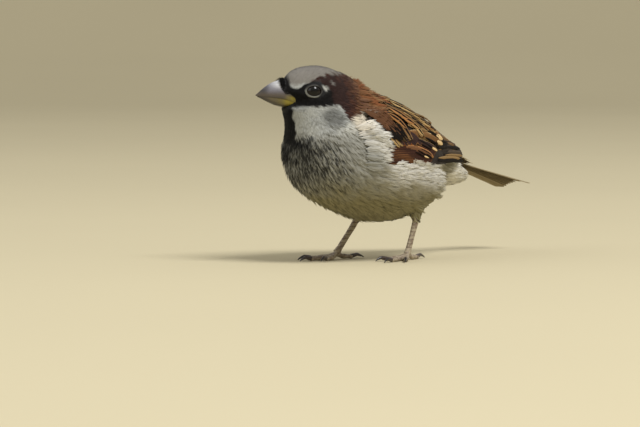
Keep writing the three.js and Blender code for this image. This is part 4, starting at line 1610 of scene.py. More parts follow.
def vane_pattern():
    """Colour and height of a vane from its map, its two colours and its pattern."""
    group = new_group("vane_pattern", (
        ("INPUT", "Place", "Vector", None),
        ("INPUT", "Centre", "Color", None),
        ("INPUT", "Edging", "Color", None),
        ("INPUT", "Pattern", "Color", None),
        ("INPUT", "Seed", "Float", 0.0),
        ("OUTPUT", "Color", "Color", None),
        ("OUTPUT", "Height", "Float", None),
    ))
    enter, leave = group.nodes["Group Input"], group.nodes["Group Output"]
    place = add(group, "SeparateXYZ", {0: enter.outputs["Place"]})
    shape = add(group, "SeparateColor", {0: enter.outputs["Pattern"]})
    y = place.outputs["Y"]
    aside = ranged(group, place.outputs["X"], (-1.0, 1.0))
    far = maths(group, "ABSOLUTE", aside)

    # The slant: places along the barbs and across them.
    across_barbs = maths(group, "MULTIPLY", maths(group, "MULTIPLY_ADD", far, -0.13, y), 95.0)
    along_barbs = maths(group, "MULTIPLY", aside, 2.2)
    seed = maths(group, "MULTIPLY", enter.outputs["Seed"], 50.0)
    barb_place = add(group, "CombineXYZ", {"X": across_barbs, "Y": along_barbs, "Z": seed}).outputs[0]
    grain = {"Vector": barb_place, "Scale": 1.0, "Detail": 2.0, "Roughness": 0.7}
    barbs = add(group, "TexNoise", grain)
    barb = maths(group, "SUBTRACT", barbs.outputs["Fac"], 0.5)

    # Where the edging starts, made ragged by the barbs.
    bias = ranged(group, shape.outputs["Blue"], (-1.0, 1.0))
    from_centre = maths(group, "ABSOLUTE", maths(group, "SUBTRACT", aside, bias))
    starts = []
    for value, rough, start, width in (
        (from_centre, 0.55, shape.outputs["Red"], 0.16),
        (y, 0.16, shape.outputs["Green"], 0.06),
    ):
        ragged = maths(group, "MULTIPLY_ADD", barb, rough, value)
        end = maths(group, "ADD", start, width)
        starts.append(ranged(group, ragged, (0.0, 1.0), start, end, "SMOOTHSTEP"))
    mixed = add(group, "Mix", {"Factor": maths(group, "MAXIMUM", *starts)}, data_type="RGBA")
    group.links.new(enter.outputs["Centre"], mixed.inputs["A"])
    group.links.new(enter.outputs["Edging"], mixed.inputs["B"])

    # Barbs lighter and darker, and a dark shaft.
    light = maths(group, "MULTIPLY_ADD", barb, 0.9, 1.0)
    shaft = ranged(group, far, (0.55, 1.0), 0.02, 0.06, "SMOOTHSTEP")
    shaded = scaled(group, mixed.outputs["Result"], maths(group, "MULTIPLY", light, shaft))
    group.links.new(shaded, leave.inputs["Color"])
    group.links.new(barbs.outputs["Fac"], leave.inputs["Height"])
    return group


VANE_PATTERN = vane_pattern()


def vane_finish():
    made = material("vane", 0.7, Specular_IOR_Level=0.05)
    tree = made.node_tree
    pattern = add(tree, "Attribute", attribute_name="pattern")
    drawn = add(tree, "Group", {
        "Place": add(tree, "UVMap", uv_map="Vane").outputs["UV"],
        "Centre": stored(tree, "tint"),
        "Edging": stored(tree, "edging"),
        "Pattern": pattern.outputs["Color"],
        "Seed": pattern.outputs["Alpha"],
    }, node_tree=VANE_PATTERN)
    colour, height = drawn.outputs["Color"], drawn.outputs["Height"]
    return finished(made, colour, height, (0.35, 0.05, False), (0.5, 0.75))


VANE = vane_finish()

# %% [markdown]
# ## The outside of the folded wing
# The wing feathers lie on the smooth outside of trunk and wing together. A copy of those
# solids is remeshed into one surface, used to lay feathers on, and then taken away. The
# wing itself keeps a dark inner blade, a little thinner than the solid, so that no light
# shows between its feathers.

# %% Outer surface and wing blades
wrap_parts = [merged_copy(node) for node in ("neck", "trunk", "wing_left", "wing_right", "tail")]
wrap = reshaped(joined(wrap_parts, "wrap"), 0.7 * MM, rounds=12)
outside = surface_only(wrap)

WING_DARK = tone(50, 42, 38)
BLADE_TAKEN_IN = 0.42 * MM
for side in EYES:
    blade = merged_copy("wing_" + side)
    blade.name = "wing_blade_" + side
    reshaped(blade, 0.5 * MM, outwards=-BLADE_TAKEN_IN)
    paint(blade, WING_DARK)
    blade.data.materials.append(BARE_SKIN)
    blade.data.shade_smooth()
    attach(blade, "root")
    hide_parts("wing_" + side)
print("outside:", len(outside.corners), "triangles")

# %% [markdown]
# ## Folded wing
# A folded wing is a stack. Lowest are the long primaries, whose tips reach over the tail,
# then the secondaries, and on top the tertials. Over their roots lie the greater
# coverts, then the median and the lesser ones. Each feather's root and tip are given as
# places along and up the bird's side, and a ray from outside finds the wing there.

# %% Wing spines
SPINE_PLACES = 9
FAR_LEFT, FAR_UP = 60, 80  # mm, where the rays that look for a surface start
WING_END = 24.0  # along the bird, where the wing's solid ends


def evened(rows, share, degree, known=slice(None)):
    """Rows at shares of a spine, each column evened out by a polynomial of the known ones."""
    columns = [np.polyval(np.polyfit(share[known], rows[known, k], degree), share) for k in range(3)]
    return np.stack(columns, axis=1)


def read_between(rows, at):
    """Rows of numbers read at a place or at places between them, where 0 is the first row."""
    columns = np.array(rows, float).T
    return np.stack([np.interp(at, range(len(rows)), column) for column in columns], axis=-1)


def on_side(along, over):
    """A spine on the left side through places given along and up the bird, in mm.
    Beyond the wing's end it goes on as it went before."""
    share = np.linspace(0, 1, SPINE_PLACES)
    out, facing = [], []
    for y, z in zip(along, over):
        hit = outside.tree.ray_cast(Vector((FAR_LEFT, y, z)) * MM, Vector((-1, 0, 0)))
        out.append(hit[0][0] if hit[0] is not None else np.nan)
        facing.append(hit[1] if hit[0] is not None else (1, 0, 0))
    out = np.array(out)
    known = ~np.isnan(out) & (along < WING_END)
    bend = np.polyfit(share[known], out[known], 3 if known.all() else 2)
    spine = np.stack([np.polyval(bend, share), along * MM, over * MM], axis=1)
    facing = unit(np.array(facing) * 0.5 + np.array((0.5, 0, 0.04)))
    return spine, unit(evened(facing, share, 2, known))


def along_side(root, tip, bow):
    """A spine on the left side from (along, up) to (along, up), bowed upwards."""
    share = np.linspace(0, 1, SPINE_PLACES)
    along = root[0] + (tip[0] - root[0]) * share
    over = root[1] + (tip[1] - root[1]) * share + bow * 4 * share * (1 - share)
    return on_side(along, over)


def between(first, last, count):
    """Pairs of places going evenly from a first pair to a last one."""
    first, last = np.array(first, float), np.array(last, float)
    return [first + (last - first) * k / max(count - 1, 1) for k in range(count)]


# %% [markdown]
# The wing's feathers are dark with rufous, buff or cream edges. No two are quite alike, so
# most colours are made a little lighter or darker each time they are used.

# %% Wing colours
QUILL_BLACK = tone(24, 20, 19)
QUILL_GREY = tone(48, 42, 38)
QUILL_SHEEN = tone(74, 64, 54)
RED_BROWN = tone(60, 36, 28)
RED_LINE = tone(106, 72, 50)
RUFOUS = tone(160, 114, 70)
RUFOUS_BRIGHT = tone(126, 74, 34)
RUFOUS_DULL = tone(126, 92, 58)
BUFF = tone(168, 140, 94)
BUFF_DULL = tone(134, 108, 72)
BUFF_PALE = tone(212, 184, 136)
PURPLE_BROWN = tone(54, 40, 38)
COVERT_BLACK = tone(22, 18, 15)
BROWN = tone(110, 86, 58)
LESSER = tone(98, 68, 46)
LAYER = 0.05  # mm from one feather of a row to the next one over it
NO_TIP = 1.2  # an edging that starts past the feather's end, so its tip has none


def varied(colour, amount=0.12):
    return np.clip(colour * RANDOM.normal(1, amount), 0, 1)


# %% [markdown]
# Tables hold what differs from one long feather to the next, and loops lay them, each a
# little higher than the one before, like a closed fan. The dark bars and cream spots of the
# tertials and inner coverts are the boldest marks, so they are small vanes of their own.

# %% Long feathers of the wing
PRIMARIES = (
    # tip along and up, vane, edging, where the edging starts, to which side it is shifted
    (25.4, 36.6, QUILL_BLACK, QUILL_GREY, 0.9, 0.6),
    (26.4, 37.6, QUILL_BLACK, BUFF_DULL, 0.6, 0.66),
    (26.6, 38.7, QUILL_GREY, BUFF_DULL, 0.6, 0.66),
    (26.2, 39.7, QUILL_GREY, BROWN, 0.7, 0.6),
    (25.4, 40.6, QUILL_BLACK, QUILL_BLACK, 0.6, 0.4),
    (23.4, 41.5, QUILL_BLACK, BROWN, 0.75, 0.6),
    (20.4, 42.3, QUILL_BLACK, QUILL_BLACK, 0.9, 0.5),
    (17.0, 42.8, QUILL_BLACK, RUFOUS_DULL, 0.8, 0.5),
)
PRIMARY_WEBS = (
    # from, to, half width: the webs of the primaries that show along the wing's tip
    ((-6.0, 37.0), (25.8, 35.7), 0.8, QUILL_BLACK),
    ((6.0, 39.6), (25.6, 38.7), 0.75, QUILL_SHEEN),
    ((-5.0, 38.0), (21.0, 36.8), 0.6, BUFF_DULL),
    ((4.5, 38.6), (24.5, 37.6), 0.5, BUFF_DULL),
    ((-4.0, 41.9), (25.8, 40.3), 0.7, QUILL_BLACK),
    ((4.0, 43.4), (20.5, 41.7), 0.62, BROWN),
    ((5.0, 45.8), (14.5, 43.9), 0.75, BUFF_DULL),
)
TERTIALS = (
    # root, tip, half widths, vane, edging, where it starts across and along
    ((-18, 48.5), (18.5, 42.9), (1.5, 1.2), BROWN, BUFF, 0.75, 0.96),
    ((-20, 50.5), (7.0, 45.0), (1.7, 1.3), RUFOUS_DULL, BUFF_PALE, 0.66, 0.90),
    ((-22, 48.0), (2.5, 43.0), (1.8, 1.5), RUFOUS_DULL, BUFF_PALE, 0.80, 0.90),
    ((-24, 45.2), (-5.5, 40.6), (1.8, 1.5), PURPLE_BROWN, BUFF, 0.85, 0.91),
    ((-25, 42.6), (-9.5, 38.4), (1.5, 1.3), LESSER, RUFOUS, 0.60, 0.90),
)
DARK_BARS = (
    # from, to, half width: the dark middles of the tertials and inner coverts
    ((-9.8, 48.0), (1.0, 45.5), 0.6), ((-12.5, 45.6), (-3.8, 42.8), 0.55),
    ((-17.5, 44.9), (-8.8, 41.7), 0.62), ((-16.5, 43.4), (-10.2, 41.0), 0.34),
    ((-17.0, 41.6), (-11.0, 39.3), 0.38), ((-19.0, 41.2), (-13.5, 38.9), 0.34),
    ((-14.2, 39.6), (-10.6, 37.9), 0.6), ((-20.5, 40.6), (-15.5, 38.6), 0.3),
    ((-7.0, 46.8), (-1.0, 44.9), 0.35), ((2.0, 43.9), (12.0, 42.9), 0.3),
)
CREAM_SPOTS = (
    # from, to, half width
    ((-2.6, 46.0), (6.0, 44.4), 1.1), ((-4.0, 43.9), (1.6, 42.6), 0.85),
    ((-9.6, 41.9), (-6.2, 40.6), 0.55), ((-15.8, 38.9), (-13.2, 38.2), 0.35),
    ((-5.5, 48.6), (-1.5, 47.8), 0.45),
)


def long_feathers(vanes):
    """Primaries, secondaries and tertials of the left wing, lowest first."""
    layer = -0.45
    for k, (tip_y, tip_z, centre, edge, start, bias) in enumerate(PRIMARIES):
        path = along_side((-16 + 0.8 * k, 38.0 + 0.7 * k), (tip_y, tip_z), 0.3)
        colours = (centre, varied(edge))
        vanes.lay(path, (1.1, 2.3), 0.88, 0.25, (layer, layer + 0.1), colours, (start, 0.985, bias))
        layer += LAYER
    for root, tip, half, colour in PRIMARY_WEBS:
        heights = (layer + 0.15, layer + 0.3)
        colours = (varied(colour, 0.06), colour)
        path = along_side(root, tip, 0.2)
        vanes.lay(path, (half, half), 0.86, 0.1, heights, colours, (0.9, NO_TIP, 0.5))
        layer += 0.02
    for row in between((-34, 36.9, -11.5, 35.9), (-33, 42.4, -6.5, 40.2), 10):
        path = along_side(row[:2], row[2:], 0.5)
        centre = varied(blend(RED_BROWN, PURPLE_BROWN, RANDOM.uniform(0, 0.5)))
        colours = (centre, varied(RED_LINE, 0.16))
        vanes.lay(path, (0.9, 1.2), 0.8, 0.2, (layer, layer + 0.12), colours, (0.66, 0.99, 0.64))
        layer += LAYER * 0.6
    for root, tip, widths, centre, edge, start, end in TERTIALS:
        colours = (varied(centre), edge)
        heights = (layer, layer + 0.1)
        vanes.lay(along_side(root, tip, 0.7), widths, 0.74, 0.45, heights, colours, (start, end, 0.5))
        layer += LAYER
    for marks, colour, rim in (
        (DARK_BARS, COVERT_BLACK, RED_BROWN), (CREAM_SPOTS, BUFF_PALE, RUFOUS_DULL),
    ):
        for root, tip, half in marks:
            pattern = (RANDOM.uniform(0.72, 0.85), NO_TIP, RANDOM.uniform(0.45, 0.55))
            colours = (varied(colour, 0.1), rim)
            path = along_side(root, tip, 0.1)
            vanes.lay(path, (half, half), 0.5, 0.2, (layer, layer + 0.1), colours, pattern)
        layer += LAYER
    return layer


# %% [markdown]
# Coverts are short and round and lie in rows like tiles. They repeat more evenly, so a row
# is told by its first and last feather, and chance moves each one a little.

# %% Coverts
def greater_edge(k):
    """The edging of a greater covert, counted from the front."""
    if k in (3, 6):
        return RUFOUS_BRIGHT
    if k in (0, 1):
        return BUFF
    return blend(RUFOUS_DULL, RED_LINE, RANDOM.random())


def coverts(vanes, layer):
    """Greater, median and lesser coverts of the left wing."""
    for k, row in enumerate(between((-32.5, 46.8, -27.8, 42.4), (-21.5, 49.0, -15.5, 43.0), 12)):
        tip = row[2:] + (RANDOM.normal(0, 0.4), RANDOM.normal(0, 0.3))
        edge = varied(greater_edge(k))
        start = 0.25 if k in (0, 1, 3) else 0.74
        pattern = (start, RANDOM.uniform(0.86, 0.95), RANDOM.uniform(0.56, 0.68))
        colours = (varied(PURPLE_BROWN), edge)
        path = along_side(row[:2], tip, 0.3)
        vanes.lay(path, (0.95, 1.0), 0.6, 0.3, (layer, layer + 0.2), colours, pattern)
        layer += 0.015
    for k, row in enumerate(between((-35.0, 49.6, -30.6, 44.6), (-24.6, 51.4, -20.4, 44.8), 13)):
        tip = row[2:] + (RANDOM.normal(0, 0.3), RANDOM.normal(0, 0.4))
        edge = varied(blend(BROWN, BUFF, RANDOM.uniform(0, 0.5) if k > 5 else 0.0))
        colours = (varied(COVERT_BLACK), edge)
        pattern = (0.84 if k > 5 else 1.0, 0.97, 0.60)
        path = along_side(row[:2], tip, 0.2)
        vanes.lay(path, (0.8, 0.8), 0.5, 0.3, (layer, layer + 0.2), colours, pattern)
        layer += 0.008
    for row in range(-1, 4):
        first = (-37.5 + 1.1 * row, 53.6 - 1.4 * row)
        last = (-31.5 + 0.9 * row, 56.0 - 1.8 * row)
        for root in between(first, last, 8):
            drop = RANDOM.uniform(2.4, 3.6)
            root = root + (RANDOM.normal(0, 0.35), RANDOM.normal(0, 0.35))
            path = along_side(root, root + (drop, -0.95 * drop), 0.2)
            tint = varied(blend(LESSER, RED_BROWN, RANDOM.uniform(0, 0.45)), 0.15)
            colours = (tint, varied(tint))
            heights = (layer - 0.05, layer + 0.2)
            vanes.lay(path, (0.8, 0.8), 0.4, 0.3, heights, colours, (0.6, 0.9, 0.5))
        layer -= 0.05


wing = {"large": Vanes(BLADE), "small": Vanes(SMALL_BLADE)}
top_layer = long_feathers(wing["large"])
coverts(wing["small"], top_layer - 0.45)
for kind, vanes in wing.items():
    columns, lines = (9, 6) if kind == "large" else (12, 9)
    patch = np.array([0.9 / columns, 0.9 / lines])
    places = in_rows(len(vanes.rows), columns, lines)
    for side in EYES:
        piece = vanes.made(f"wing_vanes_{kind}_{side}", VANE, places, patch)
        vanes.mirror()
print("large vanes on a wing:", len(wing["large"].rows), "small:", len(wing["small"].rows))


# %% [markdown]
# ## Mantle and scapulars
# Over the back and the top of the wings the feathers lie in lanes. Each has a black centre
# and rufous or buff edges, so that the centres of one lane join into a long dark stripe. A
# lane runs over the outer surface from the shoulder towards the rump, and a feather is
# laid every few millimetres. On the middle of the back the lane finds its own way, and
# beside it the lanes go through given places.

# %% Lanes
LANE_STEP = 0.5 * MM
FEATHER_EVERY = 7  # steps of a lane
SPARE_STEPS = 20  # past the last root, for that feather to lie on
RISING_STEPS = 84  # over which the tips of a lane's feathers come to stand 0.1 mm higher
UNDER_COAT = -0.7  # the height of a lane's first root, which the soft coat hides
SCAPULAR_LENGTH = 9.5 * MM


def mantle_lie(places, normals):
    """Backwards along the back, and more and more downwards on the side of the wing."""
    x, _, z = (places / MM).T
    side = np.sign(x + 1e-9)
    steep = 1.15 * smooth(np.abs(x), 8, 17) * smooth(z, 40, 46)
    flow = np.stack([0.16 * side * smooth(np.abs(x), 0, 4), np.ones_like(x), -steep], axis=1)
    return unit(along_surface(flow, normals))


def lane(start, steps):
    """Places and normals along a lane."""
    places, normals = outside.nearest(np.array([start]) * MM)
    path, facing = [places[0]], [normals[0]]
    for _ in range(steps):
        heading = mantle_lie(places, normals)
        places, normals = outside.nearest(places + heading * LANE_STEP)
        path.append(places[0])
        facing.append(normals[0])
    return np.array(path), np.array(facing)


LANES = (
    # start, length in steps, how rufous its edges are
    ((1.2, -26.0, 62), 65, 0.2), ((4.0, -25.0, 62), 60, 0.6), ((6.8, -25.0, 61), 48, 0.15),
)
SIDE_LANES = (
    # places along and up on the side, and the edge colours from front to rear
    (((-27.5, 59.4), (-23.5, 58.2), (-20.0, 56.0), (-16.4, 53.0), (-12.9, 50.4), (-9.4, 47.8)),
     (BROWN, BROWN, BUFF_DULL, BROWN, BUFF_DULL)),
    (((-22.5, 60.2), (-19.5, 58.7), (-17.0, 56.5), (-14.2, 53.9), (-10.9, 51.9), (-7.2, 49.6),
      (-3.0, 47.6)),
     (BROWN, BUFF, BUFF, BUFF_DULL, BUFF, RUFOUS_DULL, BUFF)),
    (((-28.5, 58.0), (-25.2, 56.1), (-21.3, 53.7), (-19.2, 52.0), (-17.1, 50.5), (-15.5, 49.0),
      (-14.0, 45.9)),
     (BROWN, BUFF_DULL, RUFOUS, RUFOUS, BUFF, BUFF_DULL)),
    (((-31.0, 55.4), (-28.5, 54.0), (-26.0, 52.6), (-24.2, 51.2), (-23.0, 49.4), (-22.2, 47.0),
      (-21.5, 44.6)),
     (LESSER, RUFOUS_DULL, RUFOUS, BROWN, BUFF_DULL)),
)
SIDE_LENGTH, SIDE_EVERY = 8.0, 2.9  # of a side lane's feathers, and from one to the next
SIDE_HEIGHTS = (0.8, 1.05, 1.02, 1.0)  # of each side lane over the outer surface
TOP_TERTIALS = (
    # root, tip, half width, edge: over the rear of the folded wing, places as x, y, z
    ((7.2, 5, 49.0), (5.4, 24.5, 42.5), 2.3, BUFF_DULL),
    ((14.5, -9, 52.0), (8.5, 20, 43.0), 2.0, RUFOUS_DULL),
    ((12.5, -12, 55.5), (6.8, 17, 45.0), 2.1, BUFF_DULL),
    ((9.5, -8, 56.0), (4.8, 13, 47.0), 2.2, RUFOUS_DULL),
    ((6.5, -4, 56.0), (2.8, 12, 48.5), 2.2, BUFF_DULL),
)
TOP_LANES = (
    # places as x, y, z, and the edge colour
    (((9.6, -22, 60.5), (11.2, -16, 58.8), (12.6, -10, 55.8), (12.8, -4, 52.8), (11.6, 2, 50.2)),
     BUFF_DULL),
    (((8.2, -17, 60.0), (9.3, -11, 58.2), (9.8, -5, 55.4), (9.0, 1, 52.8), (7.4, 7, 50.0)), BUFF),
)

# %% [markdown]
# The feathers of a lane are laid from the front, and the first one's root goes under the
# soft coat. Each is centred on its lane and turned with it, a little off by chance.

# %% Lay the mantle
TOP_EVERY, TOP_REACH = 0.45, 1.35  # as shares of the way from one place of a top lane to the next
MANTLE_PATCH = 0.082  # of the OFBake map, for one feather
mantle = Vanes(BLADE)
for start, steps, warm in LANES:
    path, facing = lane(start, steps + SPARE_STEPS)
    for at in range(0, steps, FEATHER_EVERY):
        reach = int(SCAPULAR_LENGTH / LANE_STEP * RANDOM.uniform(0.9, 1.1))
        picks = np.linspace(at, min(at + reach, len(path) - 1), SPINE_PLACES).astype(int)
        spine = path[picks] + RANDOM.normal(0, 0.18 * MM, 3) * (1, 0.3, 0.3)
        up = unit(facing[picks])
        edge = varied(blend(BUFF, RUFOUS_DULL, np.clip(warm + RANDOM.normal(0, 0.2), 0, 1)))
        pattern = (RANDOM.uniform(0.2, 0.3), NO_TIP, RANDOM.uniform(0.4, 0.5))
        heights = (0.25 if at else UNDER_COAT, 0.7 + 0.1 * at / RISING_STEPS)
        colours = (varied(COVERT_BLACK), edge)
        mantle.lay((spine, up), (1.75, 1.75), 0.5, 0.35, heights, colours, pattern)


def over_top(path):
    """A spine on the outer surface near a path of places, in mm."""
    share = np.linspace(0, 1, SPINE_PLACES) * (len(path) - 1)
    spine, up = outside.nearest(read_between(path, share) * MM)
    return evened(spine, share, 3), unit(evened(up, share, 2))


for rank, (root, tip, half, edge) in enumerate(TOP_TERTIALS):
    path = over_top((root, (np.array(root) + tip) / 2 + (1.0, 0, 0.5), tip))
    heights = (0.1 * rank, 0.35 + 0.1 * rank)
    colours = (varied(PURPLE_BROWN), varied(edge))
    mantle.lay(path, (half, half), 0.75, 0.4, heights, colours, (0.62, 0.95, 0.4))
for path, warm in TOP_LANES:
    for first in np.arange(0, len(path) - 1.6, TOP_EVERY):
        share = np.linspace(first, min(first + TOP_REACH, len(path) - 1), SPINE_PLACES)
        path_of_one = over_top(read_between(path, share))
        edge = varied(blend(warm, RUFOUS_DULL, RANDOM.uniform(0, 0.6)))
        root = 0.45 if first else UNDER_COAT
        pattern = (RANDOM.uniform(0.24, 0.34), NO_TIP, RANDOM.uniform(0.42, 0.5))
        colours = (varied(COVERT_BLACK), edge)
        mantle.lay(path_of_one, (1.6, 1.6), 0.5, 0.4, (root, 0.75), colours, pattern)
for rank, (path, edges) in enumerate(SIDE_LANES):
    path = np.array(path, float)
    gone = np.concatenate([[0], np.cumsum(np.linalg.norm(np.diff(path, axis=0), axis=1))])
    for start in np.arange(0, gone[-1] - SIDE_LENGTH * 0.55, SIDE_EVERY):
        reach = start + np.linspace(0, SIDE_LENGTH * RANDOM.uniform(0.9, 1.1), SPINE_PLACES)
        off = RANDOM.normal(0, 0.12)
        spine, _ = on_side(np.interp(reach, gone, path[:, 0]), np.interp(reach, gone, path[:, 1]) + off)
        _, up = outside.nearest(spine)
        up = unit(evened(up, reach, 2))
        place = (start + SIDE_LENGTH * 0.6) / gone[-1] * (len(edges) - 1)
        edge = varied(read_between(edges, place))
        pattern = (RANDOM.uniform(0.34, 0.42), NO_TIP, RANDOM.uniform(0.46, 0.54))
        low = SIDE_HEIGHTS[rank] + 0.1 * start / gone[-1]
        heights = (low - 0.25 if start else UNDER_COAT, low + 0.15)
        colours = (varied(COVERT_BLACK), edge)
        mantle.lay((spine, up), (1.4, 1.4), 0.5, 0.35, heights, colours, pattern)
places = in_rows(len(mantle.rows), 11, 11)
for side in EYES:
    piece = mantle.made("mantle_vanes_" + side, VANE, places, np.array([MANTLE_PATCH, MANTLE_PATCH]))
    mantle.mirror()

# %% [markdown]
# ## Tail
# Twelve tail feathers lie closed like a fan: the outermost lowest, the middle pair on top.
# Their places come from the tail's solid. Each has a narrow outer web with a pale edge.
# Four rows of soft coverts lie over their roots.

# %% Tail
TAIL_LOW, TAIL_HIGH = (np.array(corner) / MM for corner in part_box("tail"))
tail_surface = surface_only(merged_copy("tail"))
TAIL_BROWN = tone(126, 112, 84)
TAIL_EDGE = tone(150, 134, 100)
RUMP_LINE = ([12, 20, 28.5, 32, 36, 44], [43, 41.2, 38.4, 36.9, 35.2, 33.0])  # along and up


def along_tail(aside_root, aside_tip, end):
    """A spine down the tail's upper side."""
    share = np.linspace(0, 1, SPINE_PLACES)
    along = TAIL_LOW[1] - 4 + (end - TAIL_LOW[1] + 4) * share
    aside = aside_root + (aside_tip - aside_root) * share
    over = []
    for x, y in zip(aside, along):
        hit = tail_surface.tree.ray_cast(Vector((x * 0.9, y, FAR_UP)) * MM, Vector((0, 0, -1)))
        over.append(hit[0][2] if hit[0] is not None else np.nan)
    over = np.array(over)
    known = ~np.isnan(over)
    bend = np.polyfit(share[known], over[known], min(2, known.sum() - 1))
    spine = np.stack([aside * MM, along * MM, np.polyval(bend, share)], axis=1)
    tilt = np.stack([aside * 0.035, np.full(SPINE_PLACES, 0.18), np.ones(SPINE_PLACES)], axis=1)
    return spine, unit(tilt)


rectrices = Vanes(BLADE)
for rank in range(6):
    for sign in (1, -1):
        outer = 5 - rank
        notch = 2.4 * math.exp(-((outer / 2.2) ** 2)) + 0.2 * max(outer - 4, 0)
        end = TAIL_HIGH[1] + 5.4 - 2.4 * smooth(outer, 0, 3) - notch
        path = along_tail(sign * 0.42 * outer, sign * (0.85 + 1.12 * outer), end)
        widths, bias = ((2.1, 1.7), 0.6) if sign > 0 else ((1.7, 2.1), 0.4)
        height = -0.75 + 0.14 * rank + (0.05 if sign > 0 else 0)
        heights = (height + 1.0, height + 0.9)
        colours = (varied(TAIL_BROWN, 0.06), varied(TAIL_EDGE, 0.06))
        rectrices.lay(path, widths, 0.9, 0.2, heights, colours, (0.78, 0.985, bias))
for rank in range(4):
    for aside in (-1, 0, 1) if rank % 2 else (-1.5, -0.5, 0.5, 1.5):
        share = np.linspace(0, 1, SPINE_PLACES)
        along = 15 + 3.2 * rank + (14 - 1.2 * abs(aside)) * share
        over = np.interp(along, *RUMP_LINE) - 0.5 - 0.05 * rank
        spine = np.stack([aside * (2.6 + 0.4 * share), along, over - 0.16 * aside**2], axis=1) * MM
        up = unit(np.array((aside * 0.16, 0.35, 1)) + 0 * spine)
        tint = varied(blend(TAIL_BROWN, RUMP, RANDOM.random()), 0.08)
        colours = (tint, varied(TAIL_EDGE, 0.06))
        rectrices.lay((spine, up), (2.0, 2.0), 0.5, 0.5, (0, 0.3), colours, (0.6, 0.95, 0.5))
piece = rectrices.made("tail_vanes", VANE, in_rows(len(rectrices.rows), 13, 2), np.array([0.07, 0.45]))
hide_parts("tail")

# %% [markdown]
# ## Loose feathers over the wing's edge
# A resting sparrow tucks its folded wings into its plumage. Loose white feathers of the
# breast side lie over the bend of the wing, and the long soft flank feathers hang over its
# lower edge. Others hide where the mantle starts and the gap between the wings. All are
# laid on the outer surface, where they climb from the body onto the wing, and their tips
# stand further out than those of the coat.

# %% Overlays
TUFT_WHITE = tone(214, 212, 206)
# The front of the wing at heights, its foot along the bird, and the mantle's front aside.
WING_FRONT = ([36, 39, 42.5, 45, 47, 48.5, 50, 51], [-29.5, -29.5, -29.5, -30, -31, -32, -34, -36])
WING_FOOT = ([-36, -31, -26, -21, -15, -9, -5, 0], [36.0, 36.6, 37.5, 37.0, 35.3, 34.0, 32.4, 30.0])
MANTLE_FRONT = ([0, 5, 9, 12, 16, 18], [-24, -23, -24.5, -28, -33, -36])


def scattered_outside(count, inside):
    """Random roots of the outer surface where inside(aside, y, z) is true."""
    spots = outside.scattered(count)
    x, y, z = (spots / MM).T
    return spots[inside(np.abs(x), y, z)]


def flank_lie(places, normals):
    x, y, z = (places / MM).T
    fall = 0.06 + 0.5 * smooth(y, -6, 6) * smooth(z, 44, 36)
    flow = np.stack([0 * x, np.ones_like(x), -fall], axis=1)
    return unit(along_surface(flow, normals))


def at_wing_bend(aside, y, z):
    front = np.interp(z, *WING_FRONT)
    return (y > front - 13.5) & (y < front - 7.8) & (z > 35) & (z < 50.5) & (y > -45) & (aside > 9)


def at_wing_foot(aside, y, z):
    foot = np.interp(y, *WING_FOOT)
    return (y > -36) & (y < -3.0) & (z > foot - 8) & (z < foot) & (aside > 9)


def at_shoulder(aside, y, z):
    front = np.interp(aside, *MANTLE_FRONT)
    return (y > front - 10) & (y < front) & (z > 52.6 + 0.9 * np.maximum(-34.5 - y, 0))


def at_rump(aside, y, z):
    return (aside < 2.9) & (y > -2) & (y < 23) & (z > 38)


def shoulder_lie(places, normals):
    flow = np.array([0, 1, -0.75]) + 0 * normals
    return unit(along_surface(flow, normals))


def pale_side(places):
    """The markings, turned to white towards the wing."""
    y, z = places[:, 1] / MM, places[:, 2] / MM
    back_by = 1.2 * np.maximum(44 - z, 0) * smooth(y, -20, -30)
    near_wing = smooth(y - back_by, -44, -36) * smooth(z, 25, 34)
    shade = 0.93 + 0.07 * noise(places, 4, 61)
    return blend(markings(places), TUFT_WHITE * shade[:, None], 0.85 * near_wing)


LOOSE = kit_of(LOCK, 9, 0.2, 0.055, 0.03, 0.3, 0.14)
for title, inside, spacing, length, tip, sunk in (
    ("wing_bend", at_wing_bend, 0.8, 7.0, 1.0, 0.8),
    ("flank", at_wing_foot, 0.95, 7.6, 1.1, 1.3),
    ("shoulder", at_shoulder, 0.9, 5.6, 0.8, 1.2),
    ("rump", at_rump, 0.9, 5.0, 0.8, 0.3),
):
    there = scattered_outside(60000, inside)
    there = spread_roots(there, np.full(len(there), spacing * MM))
    lengths = np.full(len(there), length * MM)
    tips = np.full(len(there), tip * MM)
    piece = coat(
        "plumage_over_" + title, outside, there, LOOSE, lengths, lengths * 0.9, tips,
        BODY_AXIS, guide=shoulder_lie if title == "shoulder" else flank_lie,
        tint=markings if title in ("shoulder", "rump") else pale_side, sunk=sunk,
    )
    piece.data.materials.append(SOFT_PLUMAGE)
    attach(piece, "root")

# %% [markdown]
# ## Floor and light
# The floor runs up into the backdrop in one soft curve, so that no edge shows behind the
# bird. One large lamp high on the right gives form and a light in the eye, a weaker one
# from the left opens the shadows, and the pale surroundings do the rest.

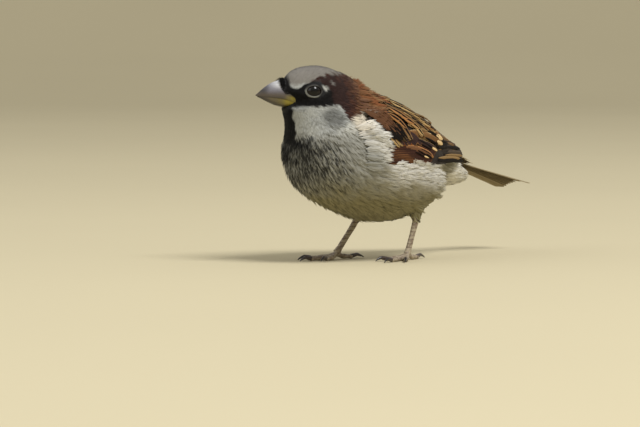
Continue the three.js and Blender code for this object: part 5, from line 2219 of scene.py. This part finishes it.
# %% Floor
FLOOR_TONE = tone(197, 187, 157)
FLOOR_REACH = 2.6  # metres of level floor round the bird
SWEEP = ((0.5, 0.06), (0.5, 0.2), (0.4, 0.36), (0.25, 0.5))  # further out, and up
FLOOR_CLOUD = ("TexNoise", "Fac", {"Scale": 3.0, "Detail": 2.0})
FLOOR_FINISH = mottled(
    "studio_floor", 0.9, FLOOR_CLOUD, (0.05, 1.0, False), (0.97, 1.03),
    colour=tuple(FLOOR_TONE), Specular_IOR_Level=0.1,
)

bpy.ops.object.select_all(action="DESELECT")
bpy.ops.mesh.primitive_circle_add(vertices=96, radius=FLOOR_REACH, fill_type="NGON")
floor = bpy.context.object
floor.name = "studio_floor"
bpy.ops.object.mode_set(mode="EDIT")
bpy.ops.mesh.select_mode(type="EDGE")
bpy.ops.mesh.select_all(action="SELECT")
bpy.ops.mesh.region_to_loop()
reach = FLOOR_REACH
for out, rise in SWEEP:
    bpy.ops.mesh.extrude_edges_move(TRANSFORM_OT_translate={"value": (0, 0, rise)})
    wider = (reach + out) / reach
    bpy.ops.transform.resize(value=(wider, wider, 1), center_override=(0, 0, 0))
    reach += out
bpy.ops.object.mode_set(mode="OBJECT")
floor.data.shade_smooth()
floor.data.materials.append(FLOOR_FINISH)

# %% [markdown]
# A world of one pale colour lights everything evenly, as a bright room does. Square area
# lamps give shadows with soft edges, and each is turned to face the bird.

# %% Light
world = bpy.data.worlds.new("studio")
bpy.context.scene.world = world
world.use_nodes = True
world.node_tree.nodes["Background"].inputs["Color"].default_value = (1.0, 0.985, 0.945, 1)
world.node_tree.nodes["Background"].inputs["Strength"].default_value = 0.58


def lamp(name, offset, size, power, colour=(1, 1, 1)):
    """A square lamp at an offset from the bird, turned to face it."""
    middle = Vector((0, -0.02, 0.045))
    bpy.ops.object.light_add(type="AREA", location=middle + Vector(offset))
    made = bpy.context.object
    made.name = name
    made.data.size = size
    made.data.energy = power
    made.data.color = colour
    made.rotation_euler = Vector(offset).to_track_quat("Z", "Y").to_euler()
    return made


lamp("key", (1.6, -0.2, 2.1), 1.0, 62.0, (1, 0.99, 0.975))
lamp("fill", (-0.7, -1.9, 0.9), 1.4, 9.0, (0.96, 0.98, 1))
